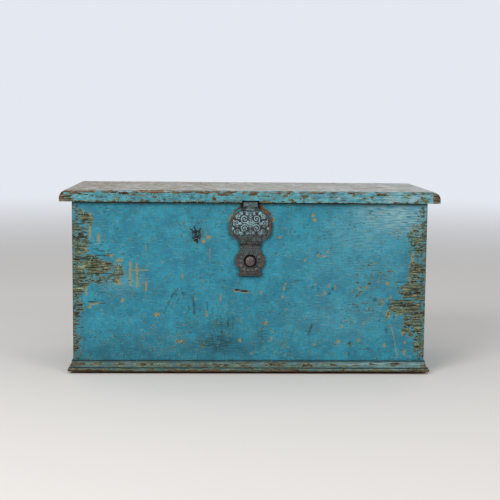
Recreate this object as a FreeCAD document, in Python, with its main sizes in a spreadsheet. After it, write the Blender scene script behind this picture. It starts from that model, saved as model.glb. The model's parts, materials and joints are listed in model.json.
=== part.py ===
import FreeCAD, Part
import Sketcher
import math
import os
from types import SimpleNamespace

# A painted plank coffer: a finger-jointed carcass on runners with a mitred base moulding,
# a hinged plank lid, and a forged iron hasp that folds over a round staple post.
# Frame: +Z up, the front faces -Y, the origin is under the middle of the coffer on the floor.

# Driving sizes, in millimetres unless the name says count
SIZES = {
    # Lid
    "lid_width": 980.0,
    "lid_depth": 400.0,
    "lid_thickness": 30.0,
    "lid_front_board_depth": 205.0,
    "lid_seam": 0.4,
    "lid_end_round": 21.0,
    "lid_edge_round": 4.0,
    "front_overhang": 12.0,
    "side_overhang": 31.0,
    "rear_overhang": 30.0,
    "lid_gap": 0.5,
    "batten_width": 46.0,
    "batten_thickness": 16.0,
    "batten_end_clearance": 9.0,
    "batten_inset": 90.0,
    # Carcass
    "wall_height": 420.5,
    "wall_thickness": 25.0,
    "finger_pair_count": 8.0,
    "back_lower_pair_count": 4.0,
    "board_seam": 0.4,
    "bottom_thickness": 16.0,
    "bottom_board_count": 3.0,
    "runner_height": 12.0,
    "runner_width": 55.0,
    "runner_setback": 24.0,
    "runner_side_inset": 45.0,
    "runner_chamfer": 3.0,
    # Base moulding
    "moulding_lift": 6.0,
    "moulding_height": 28.0,
    "moulding_projection": 13.5,
    "lip_height": 9.0,
    "lip_bulge": 2.6,
    "quirk_depth": 2.0,
    "quirk_height": 2.0,
    "cove_projection": 10.0,
    "cove_radius": 24.0,
    "bead_height": 4.0,
    "bead_projection": 3.2,
    # Butt hinges
    "hinge_inset": 159.0,
    "hinge_length": 80.0,
    "hinge_barrel_radius": 4.5,
    "hinge_barrel_gap": 0.2,
    "hinge_pin_radius": 2.0,
    "hinge_knuckle": 30.0,
    "hinge_leaf_thickness": 2.5,
    "hinge_leaf_margin": 5.7,
    "hinge_lid_leaf": 52.0,
    "hinge_pocket_clearance": 0.7,
    # Hasp, from the lid down
    "strap_width": 36.0,
    "strap_thickness": 4.0,
    "strap_reach": 96.0,
    "strap_side_gap": 4.25,
    "strap_recess": 1.0,
    "strap_shoulder": 7.0,
    "strap_bend": 5.0,
    "hasp_axis_drop": 18.6,
    "hasp_barrel_radius": 4.7,
    "hasp_barrel_gap": 0.3,
    "hasp_pin_radius": 1.9,
    "upper_barrel_width": 44.5,
    "upper_knuckle": 22.0,
    "plate_thickness": 4.0,
    "disc_radius": 55.0,
    "disc_drop": 45.2,
    "disc_rim": 5.0,
    "disc_rim_height": 1.6,
    "disc_boss_height": 1.4,
    "field_top_drop": 14.0,
    "shoulder_drop": 77.4,
    "neck_drop": 80.6,
    "lower_axis_drop": 86.8,
    "lower_barrel_width": 52.0,
    "lower_knuckle": 20.0,
    "neck_length": 17.0,
    "lobe_half_width": 35.0,
    "lobe_half_height": 14.0,
    "lobe_round": 40.0,
    "waist_below_hole": 18.0,
    "waist_half_width": 27.0,
    "tail_below_hole": 38.0,
    "foot_height": 12.0,
    "foot_half_width": 29.5,
    "foot_rib_height": 1.8,
    "tongue_hole_radius": 16.0,
    "staple_drop": 46.3,
    # Staple post, riveted through the front board
    "post_radius": 12.0,
    "post_cap": 4.0,
    "post_dome": 3.0,
    "post_shank_radius": 6.0,
    "padlock_hole_radius": 3.5,
    "padlock_hole_gap": 2.0,
    "rove_side": 32.0,
    "rove_thickness": 3.0,
    "rivet_radius": 9.5,
    "rivet_dome": 3.0,
    # Fits and cuts
    "pin_clearance": 0.05,
    "knuckle_gap": 0.3,
    "pin_end_play": 0.2,
    "pin_head_radius": 3.1,
    "pin_head_length": 1.6,
    "mortise_gap": 0.2,
    "cut_overrun": 1.0,
    # Nails
    "board_nail_length": 52.0,
    "board_nail_radius": 1.7,
    "board_nail_head": 4.2,
    "board_nail_crown": 1.0,
    "brad_length": 24.0,
    "brad_radius": 1.1,
    "brad_head": 2.0,
    "brad_crown": 0.7,
    "fixing_nail_length": 19.0,
    "fixing_nail_radius": 1.8,
    "fixing_nail_head": 3.4,
    "fixing_nail_crown": 1.1,
    "fixing_hole_clearance": 0.05,
}

# Counts and shares that follow no length
ROSETTE_PETAL_COUNT = 8
ROSETTE_BOSS_SHARE = 0.2
ROSETTE_RING_SHARE = 0.5
ROSETTE_PETAL_SHARE = 0.125
WALL_NAIL_COUNT = 6
BAR_NAIL_COUNT = 4
FRONT_BRAD_COUNT = 8
SIDE_BRAD_COUNT = 3
BRAD_SPREAD_SHARE = 0.9
BOTTOM_NAIL_SPREAD_SHARE = 0.8
BOTTOM_NAIL_EDGE_SHARE = 0.75
BOTTOM_NAIL_PAIR_SHARES = (0.25, 0.75)


class Size(float):
    """A number that also carries the spreadsheet expression it stands for."""

    def __new__(cls, value, text):
        size = super().__new__(cls, value)
        size.text = text
        return size

    def __add__(self, other):
        return joined(self, "+", other, float(self) + float(other))

    def __radd__(self, other):
        return joined(other, "+", self, float(other) + float(self))

    def __sub__(self, other):
        return joined(self, "-", other, float(self) - float(other))

    def __rsub__(self, other):
        return joined(other, "-", self, float(other) - float(self))

    def __mul__(self, other):
        return joined(self, "*", other, float(self) * float(other))

    def __rmul__(self, other):
        return joined(other, "*", self, float(other) * float(self))

    def __truediv__(self, other):
        return joined(self, "/", other, float(self) / float(other))

    def __neg__(self):
        return joined(0, "-", self, -float(self))


def text_of(value):
    return value.text if isinstance(value, Size) else repr(float(value))


def root(value):
    return Size(math.sqrt(value), f"sqrt({text_of(value)})")


def joined(first, sign, second, value):
    return Size(value, f"({text_of(first)} {sign} {text_of(second)})")


doc = FreeCAD.newDocument("coffer")
sheet = doc.addObject("Spreadsheet::Sheet", "Sizes")
for row, (name, value) in enumerate(SIZES.items(), start=1):
    sheet.set(f"A{row}", name)
    sheet.set(f"B{row}", str(value))
    sheet.setAlias(f"B{row}", name)
doc.recompute()
s = SimpleNamespace(**{name: Size(value, f"Sizes.{name}") for name, value in SIZES.items()})

# Sizes and places that several pieces share
finger_rows = 2 * s.finger_pair_count + 1
back_lower_rows = 2 * s.back_lower_pair_count + 1
hinge_setout = s.hinge_barrel_radius + s.hinge_barrel_gap
hinge_wall_leaf = hinge_setout + s.wall_thickness - s.hinge_leaf_margin
strap_notch_width = s.strap_width + 2 * s.strap_side_gap
strap_notch_height = s.strap_thickness + s.strap_recess
hasp_setout = s.hasp_barrel_radius + s.hasp_barrel_gap
padlock_hole_setout = (
    hasp_setout + s.plate_thickness / 2 + s.padlock_hole_gap + s.padlock_hole_radius
)
post_projection = padlock_hole_setout + s.padlock_hole_radius + s.post_cap
body_width = s.lid_width - 2 * s.side_overhang
body_depth = s.lid_depth - s.front_overhang - s.rear_overhang
half_width = body_width / 2
hinge_offset = half_width - s.hinge_inset
front_y = (post_projection - s.rear_overhang - body_depth) / 2
back_y = front_y + body_depth
wall_z = s.runner_height + s.bottom_thickness
rim_z = wall_z + s.wall_height
lid_z = rim_z + s.lid_gap
joint_z = rim_z + s.lid_gap / 2
finger = s.wall_height / finger_rows
lid_front_y = front_y - s.front_overhang
lid_seam_y = lid_front_y + s.lid_front_board_depth
hinge_y = back_y + hinge_setout
hasp_y = front_y - hasp_setout
hasp_z = lid_z - s.hasp_axis_drop
tongue_z = hasp_z - s.lower_axis_drop
post_z = tongue_z - s.staple_drop

parts = []


def bind(item, prop, value):
    """Tie a property to its spreadsheet expression."""
    item.setExpression(prop, text_of(value))


def place(item, x=0.0, y=0.0, z=0.0):
    for axis, value in zip("xyz", (x, y, z)):
        bind(item, f"Placement.Base.{axis}", value)


def new_body(name, x=0.0, y=0.0, z=0.0):
    body = doc.addObject("PartDesign::Body", name)
    body.Label = name
    place(body, x, y, z)
    parts.append(body)
    return body


def new_sketch(body, name, role, offset=0.0):
    """An empty sketch on one of the body's own origin planes, moved along its normal."""
    sketch = body.newObject("Sketcher::SketchObject", name)
    plane = next(f for f in body.Origin.OriginFeatures if f.Role == role)
    sketch.AttachmentSupport = [(plane, "")]
    sketch.MapMode = "FlatFace"
    bind(sketch, "AttachmentOffset.Base.z", offset)
    return sketch


def constrain(sketch, kind, *where):
    """Add a dimension whose last item is a size, and bind it to that size."""
    size = where[-1]
    index = sketch.addConstraint(Sketcher.Constraint(kind, *where[:-1], float(size)))
    bind(sketch, f"Constraints[{index}]", size)


def add_outline(sketch, *path):
    """Draw a closed outline: points as (x, y), and ("arc", radius, side) before the next point.

    Side 1 bulges to the left of the way of travel, and -1 to the right.
    """
    points = [step for step in path if step[0] != "arc"]
    arcs = {}
    for step in path:
        if step[0] == "arc":
            arcs[at] = step[1:]
        else:
            at = points.index(step)
    first = sketch.GeometryCount
    ends = []
    for i, start in enumerate(points):
        a = FreeCAD.Vector(*start, 0)
        b = FreeCAD.Vector(*points[(i + 1) % len(points)], 0)
        if i not in arcs:
            sketch.addGeometry(Part.LineSegment(a, b), False)
            ends.append((1, 2))
            continue
        radius, side = arcs[i]
        chord = b - a
        out = FreeCAD.Vector(-chord.y, chord.x, 0).normalize() * side
        rise = radius - math.sqrt(float(radius) ** 2 - (chord.Length / 2) ** 2)
        sketch.addGeometry(Part.Arc(a, (a + b) * 0.5 + out * float(rise), b), False)
        forward = (sketch.getPoint(first + i, 1) - a).Length < (b - a).Length / 2
        ends.append((1, 2) if forward else (2, 1))
        constrain(sketch, "Radius", first + i, radius)
    for i, (x, y) in enumerate(points):
        follower = (i + 1) % len(points)
        sketch.addConstraint(
            Sketcher.Constraint("Coincident", first + i, ends[i][1], first + follower, ends[follower][0])
        )
        constrain(sketch, "DistanceX", -1, 1, first + i, ends[i][0], x)
        constrain(sketch, "DistanceY", -1, 1, first + i, ends[i][0], y)


def add_rectangle(sketch, low_x, high_x, low_y, high_y):
    add_outline(sketch, (low_x, low_y), (high_x, low_y), (high_x, high_y), (low_x, high_y))


def add_circle(sketch, x, y, radius):
    centre = FreeCAD.Vector(x, y, 0)
    index = sketch.addGeometry(Part.Circle(centre, FreeCAD.Vector(0, 0, 1), float(radius)), False)
    constrain(sketch, "DistanceX", -1, 1, index, 3, x)
    constrain(sketch, "DistanceY", -1, 1, index, 3, y)
    constrain(sketch, "Radius", index, radius)


def pad(body, sketch, length, both_ways=False, backwards=False):
    feature = body.newObject("PartDesign::Pad", f"{sketch.Name}_pad")
    feature.Profile = sketch
    feature.Midplane = both_ways
    feature.Reversed = backwards
    bind(feature, "Length", length)
    return feature


def pocket(body, sketch, depth=None, backwards=False):
    """Cut a sketch out of the body, right through both ways where no depth is given."""
    doc.recompute()
    before = body.Shape.Volume
    feature = body.newObject("PartDesign::Pocket", f"{sketch.Name}_pocket")
    feature.Profile = sketch
    if depth is None:
        feature.Type = "ThroughAll"
        feature.Midplane = True
    else:
        feature.Reversed = backwards
        bind(feature, "Length", depth)
    doc.recompute()
    if not body.Shape.Volume < before:
        raise ValueError(f"{body.Label}: {feature.Name} cuts nothing")
    return feature


def repeat(body, feature, sketch, axis, step, count):
    """Repeat a feature along a sketch axis, a step apart."""
    pattern = body.newObject("PartDesign::LinearPattern", f"{feature.Name}_row")
    pattern.Originals = [feature]
    pattern.Direction = (sketch, [axis])
    pattern.Mode = "Spacing"
    bind(pattern, "Offset", step)
    bind(pattern, "Occurrences", count)
    body.Tip = pattern
    return pattern


def revolve(body, sketch, axis):
    feature = body.newObject("PartDesign::Revolution", f"{sketch.Name}_turned")
    feature.Profile = sketch
    feature.ReferenceAxis = (sketch, [axis])
    feature.Angle = 360.0
    return feature


def new_box(name, low, high):
    """A plain board between two corners."""
    box = doc.addObject("Part::Box", name)
    box.Label = name
    for prop, a, b in zip(("Length", "Width", "Height"), low, high):
        bind(box, prop, b - a)
    place(box, *low)
    parts.append(box)
    return box


# Front and back boards: fingers on the even rows reach the ends, the odd rows are notched

def notch_ends(body, first_row, count):
    """Notch both ends of a long board, every other finger row."""
    sketch = new_sketch(body, f"{body.Name}_notches", "XZ_Plane")
    low = finger * first_row
    for side in (-1, 1):
        inner = (half_width - s.wall_thickness) * side
        outer = (half_width + s.cut_overrun) * side
        add_rectangle(sketch, min(inner, outer), max(inner, outer), low, low + finger)
    cut = pocket(body, sketch)
    repeat(body, cut, sketch, "V_Axis", finger * 2, count)


def make_front_board():
    body = new_body("front_board", 0.0, front_y, wall_z)
    outline = new_sketch(body, "front_board_face", "XZ_Plane")
    add_rectangle(outline, -half_width, half_width, 0.0, s.wall_height)
    pad(body, outline, s.wall_thickness, backwards=True)
    notch_ends(body, 1, s.finger_pair_count)
    hole = new_sketch(body, "post_hole", "XZ_Plane")
    add_circle(hole, 0.0, post_z - wall_z, s.post_shank_radius + s.pin_clearance)
    pocket(body, hole)


def make_back_boards():
    inner_y = back_y - s.wall_thickness
    lower_height = finger * back_lower_rows
    lower = new_body("back_board_lower", 0.0, inner_y, wall_z)
    outline = new_sketch(lower, "back_lower_face", "XZ_Plane")
    add_rectangle(outline, -half_width, half_width, 0.0, lower_height)
    pad(lower, outline, s.wall_thickness, backwards=True)
    notch_ends(lower, 1, s.back_lower_pair_count)

    upper = new_body("back_board_upper", 0.0, inner_y, wall_z + lower_height)
    upper_height = s.wall_height - lower_height
    outline = new_sketch(upper, "back_upper_face", "XZ_Plane")
    add_rectangle(outline, -half_width, half_width, s.board_seam, upper_height)
    pad(upper, outline, s.wall_thickness, backwards=True)
    notch_ends(upper, 0, s.finger_pair_count - s.back_lower_pair_count)
    mortises = new_sketch(upper, "wall_leaf_mortises", "XY_Plane", upper_height)
    half_leaf = s.hinge_length / 2 + s.mortise_gap
    depth_in = hinge_wall_leaf - hinge_setout + s.mortise_gap
    for side in (-1, 1):
        middle = hinge_offset * side
        add_rectangle(
            mortises,
            middle - half_leaf,
            middle + half_leaf,
            s.wall_thickness - depth_in,
            s.wall_thickness + s.cut_overrun,
        )
    pocket(upper, mortises, s.hinge_leaf_thickness)


def make_end_board(name, x):
    """An end board, whose fingers fill the notches of the front and back boards."""
    body = new_body(name, x, front_y, wall_z)
    outline = new_sketch(body, f"{name}_face", "YZ_Plane")
    add_rectangle(outline, 0.0, body_depth, 0.0, s.wall_height)
    pad(body, outline, s.wall_thickness)
    notches = new_sketch(body, f"{name}_notches", "YZ_Plane")
    add_rectangle(notches, -s.cut_overrun, s.wall_thickness, 0.0, finger)
    add_rectangle(
        notches, body_depth - s.wall_thickness, body_depth + s.cut_overrun, 0.0, finger
    )
    cut = pocket(body, notches)
    repeat(body, cut, notches, "V_Axis", finger * 2, s.finger_pair_count + 1)


# Bottom boards and the runners under them

def make_bottom():
    count = int(s.bottom_board_count)
    names = {1: ["only"], 2: ["front", "back"], 3: ["front", "middle", "back"]}
    words = names.get(count, [str(i + 1) for i in range(count)])
    step = body_depth / s.bottom_board_count
    for i, word in enumerate(words):
        low_y = front_y + step * i
        high_y = low_y + step - (s.board_seam if i < count - 1 else 0.0)
        new_box(
            f"bottom_board_{word}",
            (-half_width, low_y, s.runner_height),
            (half_width, high_y, wall_z),
        )


def runner_middles():
    outer = half_width - s.runner_side_inset - s.runner_width / 2
    return {"left": -outer, "middle": 0.0, "right": outer}


def make_runners():
    length = body_depth - 2 * s.runner_setback
    for word, x in runner_middles().items():
        body = new_body(f"runner_{word}", x, front_y + s.runner_setback, 0.0)
        outline = new_sketch(body, f"runner_{word}_side", "YZ_Plane")
        add_outline(
            outline,
            (s.runner_chamfer, 0.0),
            (length - s.runner_chamfer, 0.0),
            (length, s.runner_chamfer),
            (length, s.runner_height),
            (0.0, s.runner_height),
            (0.0, s.runner_chamfer),
        )
        pad(body, outline, s.runner_width, both_ways=True)


# Base moulding: a half-round lip, a sunk quirk, a cove and a square bead above it

def add_moulding_profile(sketch, out):
    """The moulding's section, with its back on the vertical axis; out is -1 or 1."""
    lip_flat = s.moulding_projection - s.lip_bulge
    lip_arc = (s.lip_height * s.lip_height / 4 + s.lip_bulge * s.lip_bulge) / (2 * s.lip_bulge)
    quirk_x = s.cove_projection - s.quirk_depth
    quirk_top = s.lip_height + s.quirk_height
    bead_z = s.moulding_height - s.bead_height
    add_outline(
        sketch,
        (0.0, 0.0),
        (lip_flat * out, 0.0),
        ("arc", lip_arc, -out),
        (lip_flat * out, s.lip_height),
        (quirk_x * out, s.lip_height),
        (quirk_x * out, quirk_top),
        (s.cove_projection * out, quirk_top),
        ("arc", s.cove_radius, out),
        (s.bead_projection * out, bead_z),
        (s.bead_projection * out, s.moulding_height),
        (0.0, s.moulding_height),
    )


def make_mouldings():
    reach = s.moulding_projection + s.cut_overrun
    front = new_body("base_moulding_front", 0.0, front_y, s.moulding_lift)
    section = new_sketch(front, "front_section", "YZ_Plane")
    add_moulding_profile(section, -1)
    pad(front, section, body_width + 2 * s.moulding_projection, both_ways=True)
    mitres = new_sketch(front, "front_mitres", "XY_Plane")
    for side in (-1, 1):
        add_outline(
            mitres,
            ((half_width - s.cut_overrun) * side, s.cut_overrun),
            ((half_width + reach) * side, -reach),
            ((half_width + reach) * side, s.cut_overrun),
        )
    pocket(front, mitres)

    for word, side in (("left", -1), ("right", 1)):
        name = f"base_moulding_{word}"
        body = new_body(name, half_width * side, back_y, s.moulding_lift)
        section = new_sketch(body, f"{name}_section", "XZ_Plane")
        add_moulding_profile(section, side)
        pad(body, section, body_depth + s.moulding_projection)
        mitre = new_sketch(body, f"{name}_mitre", "XY_Plane")
        add_outline(
            mitre,
            (-s.cut_overrun * side, s.cut_overrun - body_depth),
            (reach * side, -reach - body_depth),
            (-s.cut_overrun * side, -reach - body_depth),
        )
        pocket(body, mitre)


# Lid: two planks held by two battens, round-ended, with a notch for the strap

def make_lid_board(name, low_y, high_y, round_front):
    body = new_body(name, 0.0, low_y, lid_z)
    depth = high_y - low_y
    section = new_sketch(body, f"{name}_section", "YZ_Plane")
    top = s.lid_thickness
    edge = s.lid_edge_round
    if round_front:
        add_outline(
            section,
            (depth, 0.0),
            (depth, top),
            (edge, top),
            ("arc", edge, 1),
            (0.0, top - edge),
            (0.0, 0.0),
        )
    else:
        add_outline(
            section,
            (0.0, 0.0),
            (depth, 0.0),
            (depth, top - edge),
            ("arc", edge, -1),
            (depth - edge, top),
            (0.0, top),
        )
    pad(body, section, s.lid_width, both_ways=True)
    ends = new_sketch(body, f"{name}_ends", "XZ_Plane")
    half = s.lid_width / 2
    over = s.cut_overrun
    for side in (-1, 1):
        add_outline(
            ends,
            ((half - s.lid_end_round) * side, top),
            ("arc", s.lid_end_round, side),
            (half * side, top - s.lid_end_round),
            ((half + over) * side, top - s.lid_end_round),
            ((half + over) * side, top + over),
            ((half - s.lid_end_round) * side, top + over),
        )
    pocket(body, ends)
    return body


def make_lid_boards():
    front = make_lid_board("lid_board_front", lid_front_y, lid_seam_y, True)
    channel = new_sketch(front, "strap_channel", "XY_Plane")
    half = strap_notch_width / 2
    add_rectangle(
        channel, -half, half, -s.cut_overrun, s.front_overhang + s.strap_reach + s.mortise_gap
    )
    pocket(front, channel, strap_notch_height, backwards=True)

    low_y = lid_seam_y + s.lid_seam
    back = make_lid_board("lid_board_back", low_y, lid_front_y + s.lid_depth, False)
    axis_y = hinge_y - low_y
    half = s.hinge_length / 2 + s.mortise_gap
    mortises = new_sketch(back, "lid_leaf_mortises", "XY_Plane")
    barrels = new_sketch(back, "barrel_pockets", "XY_Plane")
    around = s.hinge_barrel_radius + s.hinge_pocket_clearance
    pin_end = s.pin_end_play + s.pin_head_length + s.hinge_pocket_clearance
    for side in (-1, 1):
        middle = hinge_offset * side
        leaf_end = axis_y - s.hinge_lid_leaf - s.mortise_gap
        add_rectangle(mortises, middle - half, middle + half, leaf_end, axis_y)
        low_x = middle - s.hinge_length / 2 - pin_end
        high_x = middle + s.hinge_length / 2 + pin_end
        add_rectangle(barrels, low_x, high_x, axis_y - around, axis_y + around)
    pocket(back, mortises, s.hinge_leaf_thickness, backwards=True)
    pocket(back, barrels, around - s.lid_gap / 2, backwards=True)


def batten_middle():
    return half_width - s.wall_thickness - s.batten_inset


def batten_span():
    """The battens' front and back ends, clear of the walls they drop between."""
    inset = s.wall_thickness + s.batten_end_clearance
    return front_y + inset, back_y - inset


def make_battens():
    low_y, high_y = batten_span()
    for word, side in (("left", -1), ("right", 1)):
        middle = batten_middle() * side
        body = new_body(f"lid_batten_{word}", middle, low_y, lid_z)
        length = high_y - low_y
        chamfer = s.batten_thickness / 2
        outline = new_sketch(body, f"batten_{word}_side", "YZ_Plane")
        add_outline(
            outline,
            (0.0, 0.0),
            (0.0, chamfer - s.batten_thickness),
            (chamfer, -s.batten_thickness),
            (length - chamfer, -s.batten_thickness),
            (length, chamfer - s.batten_thickness),
            (length, 0.0),
        )
        pad(body, outline, s.batten_width, both_ways=True)


# Butt hinges: each leaf is flush in its wood, and its knuckles stand behind the back board

def add_barrel(body, name, radius, length):
    ring = new_sketch(body, name, "YZ_Plane")
    add_circle(ring, 0.0, 0.0, radius)
    pad(body, ring, length, both_ways=True)


def drill_barrel(body, name, radius):
    bore = new_sketch(body, name, "YZ_Plane")
    add_circle(bore, 0.0, 0.0, radius + s.pin_clearance)
    pocket(body, bore)


def drill_fixing_holes(body, name, spots, top, downwards):
    """Nail holes with a sunk seat for each head, from the face at height top."""
    seats = new_sketch(body, f"{name}_seats", "XY_Plane", top)
    holes = new_sketch(body, f"{name}_holes", "XY_Plane")
    for x, y in spots:
        add_circle(seats, x, y, s.fixing_nail_head + s.fixing_hole_clearance)
        add_circle(holes, x, y, s.fixing_nail_radius + s.fixing_hole_clearance)
    seat_depth = s.fixing_nail_crown + s.fixing_hole_clearance
    pocket(body, seats, seat_depth, backwards=not downwards)
    pocket(body, holes)


def leaf_nail_spots(depth):
    """Three nails in a row along the part of a leaf that lies on its wood."""
    across = s.hinge_length / 2 - 2 * s.fixing_nail_head
    inner = hinge_setout + (depth - hinge_setout) / 2
    return [(x, -inner) for x in (-across, 0.0, across)]


def make_hinge(word, side):
    middle = hinge_offset * side
    half_knuckle = s.hinge_knuckle / 2
    clear = s.hinge_barrel_radius + s.knuckle_gap
    long_cut = s.hinge_length / 2 + s.cut_overrun
    thickness = s.hinge_leaf_thickness

    wall_leaf = new_body(f"hinge_leaf_wall_{word}", middle, hinge_y, joint_z)
    plate = new_sketch(wall_leaf, f"wall_plate_{word}", "XY_Plane", -s.lid_gap / 2)
    add_rectangle(plate, -s.hinge_length / 2, s.hinge_length / 2, -hinge_wall_leaf, 0.0)
    pad(wall_leaf, plate, thickness, backwards=True)
    add_barrel(wall_leaf, f"wall_barrel_{word}", s.hinge_barrel_radius, s.hinge_length)
    gap = new_sketch(wall_leaf, f"wall_gap_{word}", "XY_Plane")
    half_gap = half_knuckle + s.knuckle_gap
    add_rectangle(gap, -half_gap, half_gap, -clear, clear)
    pocket(wall_leaf, gap)
    drill_barrel(wall_leaf, f"wall_bore_{word}", s.hinge_pin_radius)
    drill_fixing_holes(
        wall_leaf, f"wall_{word}", leaf_nail_spots(hinge_wall_leaf), -s.lid_gap / 2, True
    )

    lid_leaf = new_body(f"hinge_leaf_lid_{word}", middle, hinge_y, joint_z)
    plate = new_sketch(lid_leaf, f"lid_plate_{word}", "XY_Plane", s.lid_gap / 2)
    add_rectangle(plate, -s.hinge_length / 2, s.hinge_length / 2, -s.hinge_lid_leaf, 0.0)
    pad(lid_leaf, plate, thickness)
    add_barrel(lid_leaf, f"lid_barrel_{word}", s.hinge_barrel_radius, s.hinge_length)
    gaps = new_sketch(lid_leaf, f"lid_gaps_{word}", "XY_Plane")
    add_rectangle(gaps, -long_cut, -half_knuckle, -clear, clear)
    add_rectangle(gaps, half_knuckle, long_cut, -clear, clear)
    pocket(lid_leaf, gaps)
    drill_barrel(lid_leaf, f"lid_bore_{word}", s.hinge_pin_radius)
    drill_fixing_holes(
        lid_leaf, f"lid_{word}", leaf_nail_spots(s.hinge_lid_leaf), s.lid_gap / 2, False
    )
    make_pin(f"hinge_pin_{word}", (middle, hinge_y, joint_z), s.hinge_pin_radius, s.hinge_length)


def make_pin(name, centre, radius, length):
    """A headed pin along X, free to turn in its knuckles."""
    body = new_body(name, *centre)
    half = length / 2 + s.pin_end_play
    tip = half + s.pin_head_length
    profile = new_sketch(body, f"{name}_profile", "XZ_Plane")
    add_outline(
        profile,
        (-tip, 0.0),
        (tip, 0.0),
        (tip, s.pin_head_radius),
        (half, s.pin_head_radius),
        (half, radius),
        (-half, radius),
        (-half, s.pin_head_radius),
        (-tip, s.pin_head_radius),
    )
    revolve(body, profile, "H_Axis")


# Hasp: a strap under the lid, a round plate hinged to it and a tongue hinged to the plate

def strap_nail_spots():
    """Two nails side by side and one at the strap's far end, seen from the upper pin."""
    across = s.strap_width / 4
    near = hasp_setout + s.wall_thickness + s.strap_width / 4
    far = hasp_setout + s.strap_reach - s.strap_width / 3
    return [(-across, near), (across, near), (0.0, far)]


def make_strap():
    body = new_body("hasp_strap", 0.0, hasp_y, hasp_z)
    top = s.hasp_axis_drop + strap_notch_height
    half = s.strap_thickness / 2
    far = hasp_setout + s.strap_reach
    side_view = new_sketch(body, "strap_side", "YZ_Plane")
    add_outline(
        side_view,
        (half, 0.0),
        (half, top - s.strap_thickness),
        (far, top - s.strap_thickness),
        (far, top),
        (s.strap_bend - half, top),
        ("arc", s.strap_bend, 1),
        (-half, top - s.strap_bend),
        (-half, 0.0),
    )
    pad(body, side_view, s.strap_width, both_ways=True)
    waist = new_sketch(body, "strap_waist", "XZ_Plane")
    wide = s.strap_width / 2 + s.cut_overrun
    for side in (-1, 1):
        inner = s.upper_knuckle / 2 * side
        outer = wide * side
        add_rectangle(
            waist, min(inner, outer), max(inner, outer), -s.cut_overrun, s.strap_shoulder
        )
    pocket(body, waist)
    add_barrel(body, "strap_barrel", s.hasp_barrel_radius, s.upper_knuckle)
    drill_barrel(body, "strap_bore", s.hasp_pin_radius)
    drill_fixing_holes(
        body, "strap", strap_nail_spots(), top - s.strap_thickness, False
    )


def chord_half(radius, away):
    """Half the width of a circle at a distance from its centre."""
    return root(radius * radius - away * away)


def add_disc_outline(sketch):
    """The round plate's outline, cut across by the upper barrel and necked for the lower one."""
    radius = s.disc_radius
    top = s.hasp_barrel_radius + s.knuckle_gap * 2
    top_x = chord_half(radius, s.disc_drop - top)
    low_x = chord_half(radius, s.shoulder_drop - s.disc_drop)
    neck = s.lower_barrel_width / 2
    lug = s.upper_barrel_width / 2
    add_outline(
        sketch,
        (lug, 0.0),
        (lug, -top),
        (top_x, -top),
        ("arc", radius, 1),
        (radius, -s.disc_drop),
        ("arc", radius, 1),
        (low_x, -s.shoulder_drop),
        (neck, -s.neck_drop),
        (neck, -s.lower_axis_drop),
        (-neck, -s.lower_axis_drop),
        (-neck, -s.neck_drop),
        (-low_x, -s.shoulder_drop),
        ("arc", radius, 1),
        (-radius, -s.disc_drop),
        ("arc", radius, 1),
        (-top_x, -top),
        (-lug, -top),
        (-lug, 0.0),
    )


def make_plate():
    body = new_body("hasp_plate", 0.0, hasp_y, hasp_z)
    half = s.plate_thickness / 2
    outline = new_sketch(body, "disc_outline", "XZ_Plane", -half)
    add_disc_outline(outline)
    pad(body, outline, s.plate_thickness)

    # The raised rim is a ring on the plate's face, open where the barrels cross it
    rim = new_sketch(body, "disc_rim", "XZ_Plane", half)
    inner = s.disc_radius - s.disc_rim
    rise = s.disc_drop - s.field_top_drop
    fall = s.shoulder_drop - s.disc_drop
    for side in (-1, 1):
        outer_x = chord_half(s.disc_radius, rise)
        inner_x = chord_half(inner, rise)
        low_outer_x = chord_half(s.disc_radius, fall)
        low_inner_x = chord_half(inner, fall)
        add_outline(
            rim,
            (inner_x * side, -s.field_top_drop),
            (outer_x * side, -s.field_top_drop),
            ("arc", s.disc_radius, side),
            (s.disc_radius * side, -s.disc_drop),
            ("arc", s.disc_radius, side),
            (low_outer_x * side, -s.shoulder_drop),
            (low_inner_x * side, -s.shoulder_drop),
            ("arc", inner, -side),
            (inner * side, -s.disc_drop),
            ("arc", inner, -side),
        )
    pad(body, rim, s.disc_rim_height)

    # A low rosette: one round boss with a ring of petals about it
    rosette = new_sketch(body, "disc_rosette", "XZ_Plane", half)
    add_circle(rosette, 0.0, -s.disc_drop, s.disc_radius * ROSETTE_BOSS_SHARE)
    ring = s.disc_radius * ROSETTE_RING_SHARE
    for turn in range(ROSETTE_PETAL_COUNT):
        angle = math.tau * turn / ROSETTE_PETAL_COUNT
        x = ring * math.sin(angle)
        z = ring * math.cos(angle) - s.disc_drop
        add_circle(rosette, x, z, s.disc_radius * ROSETTE_PETAL_SHARE)
    pad(body, rosette, s.disc_boss_height)

    add_barrel(body, "plate_upper_barrel", s.hasp_barrel_radius, s.upper_barrel_width)
    lower = new_sketch(body, "plate_lower_barrel", "YZ_Plane")
    add_circle(lower, 0.0, -s.lower_axis_drop, s.hasp_barrel_radius)
    pad(body, lower, s.lower_barrel_width, both_ways=True)
    gaps = new_sketch(body, "plate_gaps", "XZ_Plane")
    clear = s.hasp_barrel_radius + s.knuckle_gap * 2
    upper_half = s.upper_knuckle / 2 + s.knuckle_gap
    lower_half = s.lower_knuckle / 2 + s.knuckle_gap
    over = s.cut_overrun + clear
    add_rectangle(gaps, -upper_half, upper_half, -clear, over)
    add_rectangle(
        gaps, -lower_half, lower_half, -s.lower_axis_drop - over, clear - s.lower_axis_drop
    )
    pocket(body, gaps)
    bores = new_sketch(body, "plate_bores", "YZ_Plane")
    add_circle(bores, 0.0, 0.0, s.hasp_pin_radius + s.pin_clearance)
    add_circle(bores, 0.0, -s.lower_axis_drop, s.hasp_pin_radius + s.pin_clearance)
    pocket(body, bores)


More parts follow.
